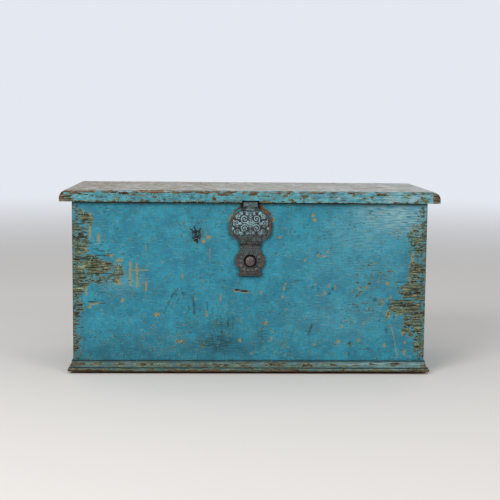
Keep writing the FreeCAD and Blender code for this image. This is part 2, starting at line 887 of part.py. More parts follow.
def make_tongue():
    body = new_body("hasp_tongue", 0.0, hasp_y, tongue_z)
    half = s.plate_thickness / 2
    neck = s.lower_barrel_width / 2
    knuckle = s.lower_knuckle / 2
    top = s.hasp_barrel_radius + s.knuckle_gap * 2
    lobe_top = s.staple_drop - s.lobe_half_height
    lobe_bottom = s.staple_drop + s.lobe_half_height
    waist = s.staple_drop + s.waist_below_hole
    tail = s.staple_drop + s.tail_below_hole
    foot = tail - s.foot_height
    right = [
        (knuckle, 0.0),
        (knuckle, -top),
        (neck, -top),
        (neck, -s.neck_length),
        (s.lobe_half_width, -lobe_top),
        ("arc", s.lobe_round, 1),
        (s.lobe_half_width, -lobe_bottom),
        (s.waist_half_width, -waist),
        (s.foot_half_width, -foot),
        (s.foot_half_width, -tail),
    ]
    left = [
        (-s.foot_half_width, -tail),
        (-s.foot_half_width, -foot),
        (-s.waist_half_width, -waist),
        (-s.lobe_half_width, -lobe_bottom),
        ("arc", s.lobe_round, 1),
        (-s.lobe_half_width, -lobe_top),
        (-neck, -s.neck_length),
        (-neck, -top),
        (-knuckle, -top),
        (-knuckle, 0.0),
    ]
    outline = new_sketch(body, "tongue_outline", "XZ_Plane", -half)
    add_outline(outline, *right, *left)
    add_circle(outline, 0.0, -s.staple_drop, s.tongue_hole_radius)
    pad(body, outline, s.plate_thickness)
    rib = new_sketch(body, "foot_rib", "XZ_Plane", half)
    add_rectangle(rib, -s.foot_half_width, s.foot_half_width, -tail, -foot)
    pad(body, rib, s.foot_rib_height)
    add_barrel(body, "tongue_barrel", s.hasp_barrel_radius, s.lower_knuckle)
    drill_barrel(body, "tongue_bore", s.hasp_pin_radius)


# Staple post: a domed stud with a cross hole, riveted over a square rove inside

def make_staple():
    post = new_body("staple_post", 0.0, front_y, post_z)
    inside = s.wall_thickness + s.rove_thickness
    dome_arc = (s.post_radius * s.post_radius + s.post_dome * s.post_dome) / (2 * s.post_dome)
    rivet_arc = (s.rivet_radius * s.rivet_radius + s.rivet_dome * s.rivet_dome) / (
        2 * s.rivet_dome
    )
    profile = new_sketch(post, "post_profile", "YZ_Plane")
    add_outline(
        profile,
        (-post_projection, 0.0),
        ("arc", dome_arc, 1),
        (s.post_dome - post_projection, s.post_radius),
        (0.0, s.post_radius),
        (0.0, s.post_shank_radius),
        (inside, s.post_shank_radius),
        (inside, s.rivet_radius),
        ("arc", rivet_arc, 1),
        (inside + s.rivet_dome, 0.0),
    )
    revolve(post, profile, "H_Axis")
    bore = new_sketch(post, "padlock_hole", "YZ_Plane")
    add_circle(bore, -padlock_hole_setout, 0.0, s.padlock_hole_radius)
    pocket(post, bore)

    rove = new_body("staple_rove", 0.0, front_y + s.wall_thickness, post_z)
    square = new_sketch(rove, "rove_square", "XZ_Plane")
    half = s.rove_side / 2
    add_rectangle(square, -half, half, -half, half)
    add_circle(square, 0.0, 0.0, s.post_shank_radius + s.pin_clearance)
    pad(rove, square, s.rove_thickness, backwards=True)


# Nails: each group is one node of separate nails, driven along its own direction

def nail_group(name, size, spots, sunk=False):
    """Nails at (point, direction): a raised head stands out of the point, a sunk one ends there."""
    length, radius, head, crown = (float(value) for value in size)
    shapes = []
    for point, direction in spots:
        start = FreeCAD.Vector(*point)
        way = FreeCAD.Vector(*direction)
        if sunk:
            shank = Part.makeCylinder(radius, length, start, way)
            cap = Part.makeCylinder(head, crown, start, way)
        else:
            shank = Part.makeCone(radius, radius / 2, length, start, way)
            cap = Part.makeCone(head, head / 2, crown, start, way * -1)
        shapes.append(shank.fuse(cap).removeSplitter())
    group = doc.addObject("Part::Feature", name)
    group.Label = name
    group.Shape = Part.Compound(shapes)
    group.Placement = FreeCAD.Placement()
    parts.append(group)


def spread(low, high, count):
    """Evenly spaced places from low to high."""
    return [low + (high - low) * (i / (count - 1)) for i in range(count)]


def board_nail(length=s.board_nail_length):
    return length, s.board_nail_radius, s.board_nail_head, s.board_nail_crown


def make_corner_nails():
    """One nail through every finger into the end grain behind it."""
    middle = s.wall_thickness / 2
    spots = []
    for row in range(int(finger_rows)):
        z = wall_z + finger * row + finger / 2
        for side in (-1, 1):
            if row % 2 == 0:
                x = (half_width - middle) * side
                spots.append(((x, front_y, z), (0, 1, 0)))
                spots.append(((x, back_y, z), (0, -1, 0)))
            else:
                x = half_width * side
                spots.append(((x, front_y + middle, z), (-side, 0, 0)))
                spots.append(((x, back_y - middle, z), (-side, 0, 0)))
    nail_group("corner_nails", board_nail(), spots)


def make_bottom_nails():
    """Up through the bottom boards into the walls, beside the lowest corner nails."""
    spots = []
    step = body_depth / s.bottom_board_count
    end_x = half_width - s.wall_thickness * BOTTOM_NAIL_EDGE_SHARE
    for i in range(int(s.bottom_board_count)):
        for share in BOTTOM_NAIL_PAIR_SHARES:
            y = front_y + step * (i + share)
            for x in (-end_x, end_x):
                spots.append(((x, y, s.runner_height), (0, 0, 1)))
    long_reach = half_width * BOTTOM_NAIL_SPREAD_SHARE
    for x in spread(-long_reach, long_reach, WALL_NAIL_COUNT):
        for y in (front_y + s.wall_thickness / 2, back_y - s.wall_thickness / 2):
            spots.append(((x, y, s.runner_height), (0, 0, 1)))
    nail_group("bottom_nails", board_nail(), spots, sunk=True)


def make_runner_nails():
    spots = []
    end = s.runner_setback + s.runner_width / 2
    for x in runner_middles().values():
        for y in spread(front_y + end, back_y - end, BAR_NAIL_COUNT):
            spots.append(((x, y, 0), (0, 0, 1)))
    length = s.runner_height + s.bottom_thickness / 2
    nail_group("runner_nails", board_nail(length), spots, sunk=True)


def make_moulding_brads():
    """Small raised brads along the square bead."""
    spots = []
    z = s.moulding_lift + s.moulding_height - s.bead_height / 2
    face = s.bead_projection
    long_reach = half_width * BRAD_SPREAD_SHARE
    short_reach = body_depth / 2 * BRAD_SPREAD_SHARE
    middle_y = front_y + body_depth / 2
    for x in spread(-long_reach, long_reach, FRONT_BRAD_COUNT):
        spots.append(((x, front_y - face, z), (0, 1, 0)))
    for y in spread(middle_y - short_reach, middle_y + short_reach, SIDE_BRAD_COUNT):
        for side in (-1, 1):
            spots.append((((half_width + face) * side, y, z), (-side, 0, 0)))
    nail_group("moulding_brads", (s.brad_length, s.brad_radius, s.brad_head, s.brad_crown), spots)


def make_batten_nails():
    spots = []
    low_y, high_y = batten_span()
    end = s.batten_width / 2
    for side in (-1, 1):
        for y in spread(low_y + end, high_y - end, BAR_NAIL_COUNT):
            for across in (-1, 1):
                x = batten_middle() * side + s.batten_width / 4 * across
                spots.append(((x, y, lid_z - s.batten_thickness), (0, 0, 1)))
    length = s.batten_thickness + s.lid_thickness / 2
    nail_group("batten_nails", board_nail(length), spots, sunk=True)


def make_iron_nails():
    """Flush nails that hold the hinge leaves and the strap."""
    size = (s.fixing_nail_length, s.fixing_nail_radius, s.fixing_nail_head, s.fixing_nail_crown)
    wall_spots = []
    lid_spots = []
    for side in (-1, 1):
        middle = hinge_offset * side
        for x, y in leaf_nail_spots(hinge_wall_leaf):
            wall_spots.append(((middle + x, hinge_y + y, rim_z), (0, 0, -1)))
        for x, y in leaf_nail_spots(s.hinge_lid_leaf):
            lid_spots.append(((middle + x, hinge_y + y, lid_z), (0, 0, 1)))
    nail_group("hinge_nails_wall", size, wall_spots, sunk=True)
    nail_group("hinge_nails_lid", size, lid_spots, sunk=True)

    strap_z = lid_z + s.strap_recess
    strap_spots = [((x, hasp_y + y, strap_z), (0, 0, 1)) for x, y in strap_nail_spots()]
    nail_group("strap_nails", size, strap_spots, sunk=True)


make_front_board()
make_back_boards()
make_end_board("left_end_board", -half_width)
make_end_board("right_end_board", half_width - s.wall_thickness)
make_bottom()
make_runners()
make_mouldings()
make_lid_boards()
make_battens()
make_hinge("left", -1)
make_hinge("right", 1)
make_strap()
make_plate()
make_tongue()
make_pin("hasp_pin_upper", (0.0, hasp_y, hasp_z), s.hasp_pin_radius, s.upper_barrel_width)
make_pin("hasp_pin_lower", (0.0, hasp_y, tongue_z), s.hasp_pin_radius, s.lower_barrel_width)
make_staple()
make_corner_nails()
make_bottom_nails()
make_runner_nails()
make_moulding_brads()
make_batten_nails()
make_iron_nails()

doc.recompute()
for item in doc.Objects:
    if "Invalid" in item.State or "Error" in item.State:
        raise ValueError(f"{item.Label} failed: {item.State}")
for part in parts:
    if part.Shape.isNull() or not part.Shape.isValid():
        raise ValueError(f"{part.Label} has no valid shape")

os.makedirs("parts", exist_ok=True)
for part in parts:
    part.Shape.exportStep(f"parts/{part.Label}.step")
    print(part.Label, len(part.Shape.Solids), round(part.Shape.Volume / 1000, 2), "cm3")
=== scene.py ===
# %% [markdown]
# # A painted plank coffer
#
# The real chest is a box of thick planks, finger-jointed at the corners, painted turquoise long ago
# and worn since: paint is gone along the corners, the lid's front edge is chipped to brown wood, and
# an iron hasp with a round chased plate hangs over a post in the middle of the front.
# The construction arrives as a fixed frame of plain solids. This notebook dresses it: the boards get
# eased edges, cracks and hollows, the hasp gets its relief, and every surface gets its finish.

# %% Load the frame
import json
import math
from functools import reduce
from types import SimpleNamespace

import bmesh
import bpy
import numpy as np
from mathutils import Matrix, Vector, noise


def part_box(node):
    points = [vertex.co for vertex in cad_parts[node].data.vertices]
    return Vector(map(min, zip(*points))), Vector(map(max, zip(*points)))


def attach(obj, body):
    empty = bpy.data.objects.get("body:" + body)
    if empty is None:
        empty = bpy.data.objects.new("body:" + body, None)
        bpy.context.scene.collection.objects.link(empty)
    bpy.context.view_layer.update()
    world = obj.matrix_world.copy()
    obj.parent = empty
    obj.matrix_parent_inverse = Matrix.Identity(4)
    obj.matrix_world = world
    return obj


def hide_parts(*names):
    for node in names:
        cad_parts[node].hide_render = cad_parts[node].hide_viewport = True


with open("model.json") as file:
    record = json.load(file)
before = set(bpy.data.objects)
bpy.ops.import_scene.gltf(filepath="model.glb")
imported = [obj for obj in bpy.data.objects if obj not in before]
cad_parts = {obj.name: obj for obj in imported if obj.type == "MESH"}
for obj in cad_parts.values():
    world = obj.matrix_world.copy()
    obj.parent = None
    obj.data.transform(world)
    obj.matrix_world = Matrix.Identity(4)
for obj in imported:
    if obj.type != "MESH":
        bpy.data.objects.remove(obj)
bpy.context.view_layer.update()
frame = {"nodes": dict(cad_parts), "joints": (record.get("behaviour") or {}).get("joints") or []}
MM = 0.001
X, Y, Z = 0, 1, 2

# %% [markdown]
# ## Places that the finishes refer to
#
# Paint wears where hands and feet reach: at corners and rims. So the wall box, the lid box and the
# moulding's box are read from the frame once, and each wear pattern is worked out from them.

# %% Boxes of the main forms
wall_low, wall_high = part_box("front_board")
wall_high.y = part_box("back_board_upper")[1].y
lid_low, lid_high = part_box("lid_board_front")
lid_high.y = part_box("lid_board_back")[1].y
skirt_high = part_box("base_moulding_front")[1]
joints = {joint["name"]: Vector(joint["pos_m"]) for joint in frame["joints"]}
print("walls", tuple(wall_low), tuple(wall_high))

# %% [markdown]
# ## Helpers for shader trees
#
# Each finish is a tree of nodes. A few small helpers keep the trees readable: they place a node and
# feed its sockets, do a sum, mix two colours, lay one colour over another, and turn a value into a
# soft mask.

# %% Node helpers


def srgb(red, green, blue):
    """A display colour from 0 to 255 as the linear colour that shaders use."""
    shares = [channel / 255 for channel in (red, green, blue)]
    return tuple(c / 12.92 if c <= 0.04045 else ((c + 0.055) / 1.055) ** 2.4 for c in shares) + (1.0,)


def put(tree, kind, inputs=None, **settings):
    """Add a node, set its options, then feed its sockets with values or with other sockets."""
    node = tree.nodes.new(kind)
    for name, value in settings.items():
        setattr(node, name, value)
    for key, value in (inputs or {}).items():
        if isinstance(value, bpy.types.NodeSocket):
            tree.links.new(value, node.inputs[key])
        else:
            node.inputs[key].default_value = value
    return node


# %% Sums, mixes and masks


def sums(tree, operation, first, second):
    return put(tree, "ShaderNodeMath", {0: first, 1: second}, operation=operation).outputs[0]


def times(tree, first, second):
    return sums(tree, "MULTIPLY", first, second)


def mixed(tree, factor, first, second):
    """The mix of two colours; sockets 6, 7 and output 2 are the colour ones of a Mix node."""
    inputs = {0: factor, 6: first, 7: second}
    return put(tree, "ShaderNodeMix", inputs, data_type="RGBA").outputs[2]


def cover(tree, under, over, where, strength):
    """Lay a colour over another where a value says so, at most as strongly as strength."""
    return mixed(tree, times(tree, where, strength), under, over)


def mask(tree, value, low, high):
    """0 below low, 1 above high, and a soft step between; low may be the higher one."""
    inputs = {"Value": value, "From Min": low, "From Max": high}
    return put(tree, "ShaderNodeMapRange", inputs, interpolation_type="SMOOTHSTEP").outputs["Result"]


# %% Patterns and painted values


def stretched(tree, position, scale):
    """A position multiplied axis by axis; the small factors are the directions a pattern runs along."""
    inputs = {0: position, 1: scale}
    return put(tree, "ShaderNodeVectorMath", inputs, operation="MULTIPLY").outputs[0]


def clouds(tree, position, scale, detail=3.0, roughness=0.5):
    inputs = {"Vector": position, "Scale": scale, "Detail": detail, "Roughness": roughness}
    return put(tree, "ShaderNodeTexNoise", inputs).outputs[0]


def layer(tree, name):
    """A value that was painted on to the piece's own points."""
    return put(tree, "ShaderNodeAttribute", attribute_name=name).outputs["Fac"]


# %% [markdown]
# ## Effects that several finishes share
#
# Grain, worn paint, flecks and rust turn up on more than one surface. Each is a node group with
# named inputs, so a board and a moulding can use the same effect with their own values.

# %% A group and its sockets
SOCKETS = {"value": "NodeSocketFloat", "vector": "NodeSocketVector"}


def new_group(name, inputs, outputs):
    """An empty node group; inputs are name: (kind, default), and every output is a value."""
    tree = bpy.data.node_groups.new(name, "ShaderNodeTree")
    for label, (kind, default) in inputs.items():
        socket = tree.interface.new_socket(label, in_out="INPUT", socket_type=SOCKETS[kind])
        socket.default_value = default
    for label in outputs:
        tree.interface.new_socket(label, in_out="OUTPUT", socket_type=SOCKETS["value"])
    return tree, tree.nodes.new("NodeGroupInput").outputs, tree.nodes.new("NodeGroupOutput")


def give(tree, result, **values):
    """Lead each value to the group's output of its name."""
    for name, value in values.items():
        tree.links.new(value, result.inputs[name])
    print("group", tree.name, "gives", list(values))


def use(tree, group, **inputs):
    """Place a group in a tree, feed it, and give its outputs."""
    return put(tree, "ShaderNodeGroup", inputs, node_tree=group).outputs


# %% [markdown]
# ### Wood grain
#
# A plank shows fine fibres close together and a broader figure, both along the board. A picture of
# wood would repeat from board to board; noise drawn out along each board doesn't.

# %% Grain group


def make_grain_group():
    inputs = {"Position": ("vector", (0, 0, 0)), "Along": ("vector", (0.05, 1, 1))}
    tree, given, result = new_group("wood grain", inputs, ("Fibre", "Figure"))
    drawn = stretched(tree, given["Position"], given["Along"])
    fibre = clouds(tree, drawn, 620.0, detail=3.0, roughness=0.6)
    figure = clouds(tree, drawn, 110.0, detail=4.0)
    give(tree, result, Fibre=fibre, Figure=figure)
    return tree


grain_group = make_grain_group()

# %% [markdown]
# ### Worn paint
#
# Paint doesn't fade away evenly: it lets go in flakes. A painted value says how worn a place is, and
# noise decides where the film has broken. Around each bare place a thin rim of primer shows, and a
# dark line lies against the broken edge of the film, dirt together with painted shade of its step.

# %% Worn paint group
PRIMER_SHOWS = (0.34, 0.46)
FILM_BREAKS = (0.48, 0.51)
RIM_ENDS = (0.55, 0.64)


def make_wear_group():
    inputs = {
        "Position": ("vector", (0, 0, 0)),
        "Along": ("vector", (0.3, 1, 1)),
        "Worn": ("value", 0.0),
    }
    tree, given, result = new_group("worn paint", inputs, ("Bare", "Rim", "Primer"))
    drawn = stretched(tree, given["Position"], given["Along"])
    coarse = clouds(tree, drawn, 190.0, detail=4.0, roughness=0.65)
    fine = clouds(tree, drawn, 520.0, detail=3.0, roughness=0.6)
    broad = clouds(tree, given["Position"], 62.0, detail=4.0, roughness=0.6)
    level = given["Worn"]
    for part, amount in ((coarse, 1.5), (fine, 1.0), (broad, 1.0)):
        level = sums(tree, "ADD", level, times(tree, sums(tree, "SUBTRACT", part, 0.5), amount))
    bare = mask(tree, level, *FILM_BREAKS)
    # The dark rim at the film's broken edge: dirt and painted shade.
    rim = sums(tree, "SUBTRACT", bare, mask(tree, level, *RIM_ENDS))
    primer = sums(tree, "SUBTRACT", mask(tree, level, *PRIMER_SHOWS), bare)
    give(tree, result, Bare=bare, Rim=rim, Primer=primer)
    return tree


wear_group = make_wear_group()

# %% [markdown]
# ### Flecks
#
# Small knocks are scattered and gather in places. Noise alone would give blots of all sizes, so
# cells give each knock its own spot, and a slow noise picks where they cluster.

# %% Flecks group
FLECK_BEND = 0.006


def make_fleck_group():
    inputs = {
        "Position": ("vector", (0, 0, 0)),
        "Scale": ("value", 120.0),
        "Size": ("value", 0.16),
        "Cover": ("value", 0.55),
    }
    tree, given, result = new_group("flecks", inputs, ("Fleck",))
    bent = put(tree, "ShaderNodeTexNoise", {"Vector": given["Position"], "Scale": 240.0})
    offset = stretched(tree, bent.outputs["Color"], (FLECK_BEND,) * 3)
    place = put(tree, "ShaderNodeVectorMath", {0: given["Position"], 1: offset}, operation="ADD").outputs[0]
    cells = put(tree, "ShaderNodeTexVoronoi", {"Vector": place, "Scale": given["Scale"]})
    small = sums(tree, "LESS_THAN", cells.outputs["Distance"], given["Size"])
    picked = sums(tree, "GREATER_THAN", clouds(tree, given["Position"], 16.0, detail=5.0), given["Cover"])
    give(tree, result, Fleck=times(tree, small, picked))
    return tree


fleck_group = make_fleck_group()

# %% [markdown]
# ## Painted wood
#
# From the outside in: turquoise paint with brush marks, a painted glint, pale places of fading and
# painted sheen, hatched dirt that also gives painted shade, pits and chips that show an ochre
# primer, grey weathered wood where the paint is gone, and black cracks along the grain, whose black
# also gives painted shade. A picture could hold all this, but it would show seams at the boards'
# edges. Noise drawn out along the grain has none. The layers are mixed in that order, so the deeper
# ones win.

# %% Painted wood colours
# The last tone of each set is a glint, a painted highlight.
PAINT_TONES = (srgb(28, 115, 141), srgb(40, 138, 162), srgb(54, 104, 98), srgb(104, 172, 182))
# Pale paint, for fading and for painted sheen and highlights.
PAINT_FADED = srgb(142, 178, 182)
# The colour of dirt, used for painted shade as well.
DIRT = srgb(26, 60, 64)
PIT = srgb(34, 78, 74)
PRIMER = srgb(142, 138, 82)
CHIP = srgb(146, 130, 72)
WOOD_TONES = (srgb(112, 126, 96), srgb(26, 33, 24), srgb(168, 174, 138), srgb(122, 72, 42))
# Black for cracks, used for painted shade as well.
CRACK = srgb(16, 16, 13)

# %% How a finish starts and ends


def new_material(name):
    material = bpy.data.materials.new(name)
    material.use_nodes = True
    tree = material.node_tree
    tree.nodes.clear()
    return material, tree, put(tree, "ShaderNodeTexCoord").outputs["Object"]


def surface(tree, colour, roughness, height, distance):
    """The shader at the end of a tree, with its bump; what is the same all over stays on its sockets."""
    bump = put(tree, "ShaderNodeBump", {"Height": height, "Strength": 1.0, "Distance": distance})
    inputs = {"Base Color": colour, "Roughness": roughness, "Normal": bump.outputs[0]}
    shader = put(tree, "ShaderNodeBsdfPrincipled", inputs)
    put(tree, "ShaderNodeOutputMaterial", {"Surface": shader.outputs[0]})
    return shader


# %% The film of paint
STREAK_LEAST = 0.12


def at_least(factors, least):
    """The factors of a stretched pattern, with a least one, so that it is drawn out less."""
    return tuple(max(factor, least) for factor in factors)


def paint_film(tree, place, fibre, along, across, flaked, tones):
    """Two close tones, dull where the film is thin or brushed, then a painted glint in long streaks, fading
    with a painted sheen, and dirt with painted shade.
    """
    deep, light, dull, glint = tones
    drawn = stretched(tree, place, flaked)
    thin = mask(tree, clouds(tree, drawn, 260.0, 5.0, 0.75), 0.50, 0.64)
    smudged = mask(tree, clouds(tree, drawn, 120.0, 4.0, 0.6), 0.56, 0.72)
    brushed = clouds(tree, stretched(tree, place, across), 420.0, 2.0)
    rubbed = clouds(tree, stretched(tree, place, at_least(along, STREAK_LEAST)), 310.0, 3.0, 0.6)
    paint = mixed(tree, mask(tree, clouds(tree, place, 30.0, 5.0, 0.6), 0.35, 0.65), deep, light)
    paint = cover(tree, paint, dull, thin, 0.8)
    paint = cover(tree, paint, dull, smudged, 0.5)
    paint = cover(tree, paint, dull, mask(tree, brushed, 0.52, 0.70), 0.55)
    # A painted glint along the streaks.
    paint = cover(tree, paint, glint, mask(tree, rubbed, 0.57, 0.72), 0.5)
    paint = cover(tree, paint, PAINT_FADED, layer(tree, "faded"), mask(tree, rubbed, 0.30, 0.62))
    hatched = sums(tree, "MAXIMUM", mask(tree, fibre, 0.34, 0.58), mask(tree, brushed, 0.50, 0.64))
    return cover(tree, paint, DIRT, layer(tree, "stained"), hatched), thin


# %% Knocks in the film, and the wood under it
KNOCK_LEAST = 0.45


def knocked(tree, place, along, paint):
    """Dark pits everywhere, the placed chips with broken edges, and small specks that gather."""
    drawn = stretched(tree, place, at_least(along, KNOCK_LEAST))
    pits = use(tree, fleck_group, Position=drawn, Scale=170.0, Size=0.25, Cover=0.5)["Fleck"]
    paint = cover(tree, paint, PIT, pits, 0.6)
    ragged = sums(tree, "SUBTRACT", clouds(tree, place, 330.0, 3.0, 0.7), 0.5)
    chipped = sums(tree, "ADD", layer(tree, "chipped"), times(tree, ragged, 2.2))
    chips = times(tree, mask(tree, chipped, 0.25, 0.75), 0.76)
    small = use(tree, fleck_group, Position=drawn, Scale=95.0, Size=0.2, Cover=0.56)["Fleck"]
    gathered = times(tree, mask(tree, clouds(tree, place, 11.0, 3.0), 0.40, 0.60), 0.5)
    chips = sums(tree, "MAXIMUM", chips, times(tree, small, gathered))
    return mixed(tree, chips, paint, CHIP), chips


def weathered(tree, grain, rim, woods):
    """Grey green figure, pale ridges, dark fibres, dark rims of dirt and painted shade, and warm where hands
    have worn it.
    """
    grey, dark, pale, warm = woods
    wood = mixed(tree, mask(tree, grain["Figure"], 0.44, 0.62), grey, dark)
    wood = cover(tree, wood, pale, mask(tree, grain["Fibre"], 0.54, 0.64), 0.8)
    wood = mixed(tree, layer(tree, "warm"), wood, warm)
    split = times(tree, mask(tree, grain["Fibre"], 0.52, 0.44), 0.95)
    return mixed(tree, sums(tree, "MAXIMUM", split, rim), wood, dark)


# %% Painted wood material
LONG_GRAIN = (0.05, 1.0, 1.0)
SHORT_GRAIN = (1.0, 0.05, 1.0)
UP_BRUSH = (1.0, 1.0, 0.12)
LONG_BRUSH = (0.04, 1.0, 1.0)
MATT = 0.3


def make_painted_wood(name, along, across, tones=PAINT_TONES, woods=WOOD_TONES, flake=0.5):
    """along holds a small factor for the grain's direction, across one for the brush's, flake the flakes'."""
    material, tree, place = new_material(name)
    grain = use(tree, grain_group, Position=place, Along=along)
    flaked = at_least(along, flake)
    wear = use(tree, wear_group, Position=place, Along=flaked, Worn=layer(tree, "worn"))
    bare = wear["Bare"]
    paint, thin = paint_film(tree, place, grain["Fibre"], along, across, flaked, tones)
    paint, chips = knocked(tree, place, along, paint)
    wood = weathered(tree, grain, wear["Rim"], woods)
    colour = cover(tree, paint, PRIMER, wear["Primer"], 0.65)
    colour = mixed(tree, bare, colour, wood)
    # Cracks, and painted shade, in black.
    colour = mixed(tree, mask(tree, layer(tree, "cracked"), 0.12, 0.5), colour, CRACK)

    roughness = sums(tree, "ADD", times(tree, bare, 0.25), 0.58)
    film = sums(tree, "SUBTRACT", 1.0, sums(tree, "MAXIMUM", bare, times(tree, chips, 0.7)))
    height = sums(tree, "ADD", times(tree, film, 0.6), times(tree, grain["Fibre"], 0.4))
    height = sums(tree, "SUBTRACT", height, times(tree, thin, 0.12))
    shader = surface(tree, colour, roughness, height, 0.7 * MM)
    shader.inputs["Specular IOR Level"].default_value = MATT
    return material


painted_long = make_painted_wood("turquoise paint, grain along X", LONG_GRAIN, UP_BRUSH)
painted_short = make_painted_wood("turquoise paint, grain along Y", SHORT_GRAIN, UP_BRUSH)
print("finish", painted_long.name)

# %% [markdown]
# ## Bare wood
#
# Inside and underneath, the coffer was never painted. Old softwood goes brown, with dark fibres and
# dust in the grain. The grain group serves here too, with two browns in place of the paint.

# %% Bare wood material
WOOD_LIGHT = srgb(150, 118, 84)
WOOD_DARK = srgb(92, 66, 44)
WOOD_DUST = srgb(150, 138, 120)


def make_bare_wood(name, along):
    material, tree, place = new_material(name)
    grain = use(tree, grain_group, Position=place, Along=along)
    colour = mixed(tree, mask(tree, grain["Figure"], 0.35, 0.68), WOOD_LIGHT, WOOD_DARK)
    colour = cover(tree, colour, WOOD_DARK, mask(tree, grain["Fibre"], 0.5, 0.7), 0.5)
    colour = cover(tree, colour, WOOD_DUST, mask(tree, clouds(tree, place, 9.0), 0.45, 0.7), 0.4)
    surface(tree, colour, 0.82, grain["Fibre"], 0.5 * MM)
    return material


bare_long = make_bare_wood("bare wood, grain along X", LONG_GRAIN)
bare_short = make_bare_wood("bare wood, grain along Y", SHORT_GRAIN)
print("finish", bare_long.name)

# %% [markdown]
# ## Old iron
#
# The hasp was painted with the chest. The film holds on in the hollows of the chasing, pale paint
# and a painted highlight lie on its crests, more to the upper left, and rust shows on what stands
# proud. The post's head is rubbed to a warmer grey by the tongue that drops over it.
# The hinges and nails have only rust. One recipe serves them all, with its own amounts of paint and
# rust for each, because they were forged and they aged alike.

# %% Iron materials
IRON = srgb(72, 74, 70)
POST_IRON = srgb(112, 98, 101)
IRON_DARK = srgb(30, 28, 27)
RUST = srgb(98, 64, 48)
RUST_BRIGHT = srgb(140, 88, 56)
IRON_PAINT = srgb(72, 98, 96)
IRON_PALE = srgb(150, 186, 196)
METAL_SHARE = 0.3


def make_iron(name, paint_left, rust, iron=IRON):
    """paint_left and rust say how much of the surface keeps its paint and how much has rusted."""
    material, tree, place = new_material(name)
    mottled = clouds(tree, place, 260.0, detail=5.0, roughness=0.7)
    blotch = clouds(tree, place, 90.0, detail=4.0)
    colour = mixed(tree, mask(tree, mottled, 0.35, 0.65), IRON_DARK, iron)
    level = sums(tree, "ADD", times(tree, blotch, 0.6), times(tree, mottled, 0.4))
    film = mask(tree, level, 0.62 - paint_left, 0.70 - paint_left)
    colour = cover(tree, colour, IRON_PAINT, film, 0.75)
    rusty = sums(tree, "ADD", clouds(tree, place, 120.0, detail=6.0, roughness=0.7), layer(tree, "rusted"))
    rusted = mask(tree, rusty, 0.66 - rust, 0.76 - rust)
    colour = cover(tree, colour, RUST, rusted, 0.75)
    bright = use(tree, fleck_group, Position=place, Scale=420.0, Size=0.25, Cover=0.52)["Fleck"]
    colour = cover(tree, colour, RUST_BRIGHT, bright, 0.5)
    # Pale paint, and on the disc's crests a painted highlight.
    colour = cover(tree, colour, IRON_PALE, layer(tree, "residue"), mask(tree, mottled, 0.34, 0.60))
    # Dark in the hollows, and painted shade on the hasp's barrels.
    colour = mixed(tree, layer(tree, "hollow"), colour, IRON_DARK)
    roughness = sums(tree, "ADD", times(tree, rusted, 0.25), 0.55)
    shader = surface(tree, colour, roughness, mottled, 0.4 * MM)
    shader.inputs["Metallic"].default_value = METAL_SHARE
    return material


hasp_iron = make_iron("painted hasp iron", 0.15, 0.08)
tail_iron = make_iron("worn tail iron", 0.06, 0.10)
post_iron = make_iron("handled post iron", -0.1, 0.06, POST_IRON)
hinge_iron = make_iron("rusted hinge iron", -0.1, 0.2)
nail_iron = make_iron("rusted nails", -0.1, 0.2)
painted_nails = make_iron("nails under paint", 0.2, 0.08)
print("finish", hasp_iron.name)

# %% [markdown]
# ## Dressing a board
#
# The construction's boards already have their fingers, mortises and nail seats, so a copy of each is
# the best start: it is merged, its sharp edges are eased as years of use ease them, and planes cut it
# into a net of small faces that can be worn down. Faces that nobody sees stay large.

# %% Copy a solid and ease its edges
WELD = 1e-6
FLAT = math.radians(1)
FINE_EASE = 0.35 * MM


def merged_copy(node):
    """A construction node as one joined mesh with flat faces whole."""
    mesh = bmesh.new()
    mesh.from_mesh(frame["nodes"][node].data)
    bmesh.ops.remove_doubles(mesh, verts=mesh.verts, dist=WELD)
    bmesh.ops.dissolve_limit(mesh, angle_limit=FLAT, verts=mesh.verts, edges=mesh.edges)
    return mesh


def bevel(mesh, edges, width, segments=2, clamp_overlap=False):
    bmesh.ops.bevel(
        mesh,
        geom=edges,
        offset=width,
        offset_type="OFFSET",
        segments=segments,
        profile=0.5,
        affect="EDGES",
        clamp_overlap=clamp_overlap,
        material=-1,
    )


def ease_edges(mesh, width, least=40, segments=2, chosen=None):
    """Round the edges that turn by more than least degrees, all of them or the chosen ones."""
    sharp = [e for e in mesh.edges if e.is_manifold and e.calc_face_angle() > math.radians(least)]
    bevel(mesh, [e for e in sharp if chosen is None or chosen(e)], width, segments, clamp_overlap=True)


# %% Cut a mesh into a net


def cut_at(mesh, axis, places, faces=None):
    """Cut faces at each place on an axis; halving the places each time keeps every cut small."""
    if not places:
        return
    faces = mesh.faces[:] if faces is None else faces
    edges = list({edge for face in faces for edge in face.edges})
    corners = list({corner for face in faces for corner in face.verts})
    normal = Vector((0, 0, 0))
    normal[axis] = 1
    half = len(places) // 2
    geom = corners + edges + faces
    at = normal * places[half]
    cut = bmesh.ops.bisect_plane(mesh, geom=geom, dist=WELD, plane_co=at, plane_no=normal)["geom"]
    lower, upper = [], []
    for item in cut:
        if isinstance(item, bmesh.types.BMFace):
            side = lower if item.calc_center_median()[axis] < places[half] else upper
            side.append(item)
    cut_at(mesh, axis, places[:half], lower)
    cut_at(mesh, axis, places[half + 1 :], upper)


def steps(low, high, step):
    """Places between low and high, about a step apart, the ends left out."""
    count = max(1, round((high - low) / step))
    return [low + (high - low) * i / count for i in range(1, count)]


def cut_evenly(mesh, box, axis, cell, faces=None):
    """Cut faces across an axis into cells of one size."""
    cut_at(mesh, axis, steps(box[0][axis], box[1][axis], cell), faces)


def away_from(mesh, axis, place):
    """The faces that don't lie at a place on an axis, such as all but a board's hidden side."""
    return [f for f in mesh.faces if abs(f.calc_center_median()[axis] - place) > WELD]


# %% Turn a mesh into a piece
SMOOTH_UP_TO = math.radians(38)


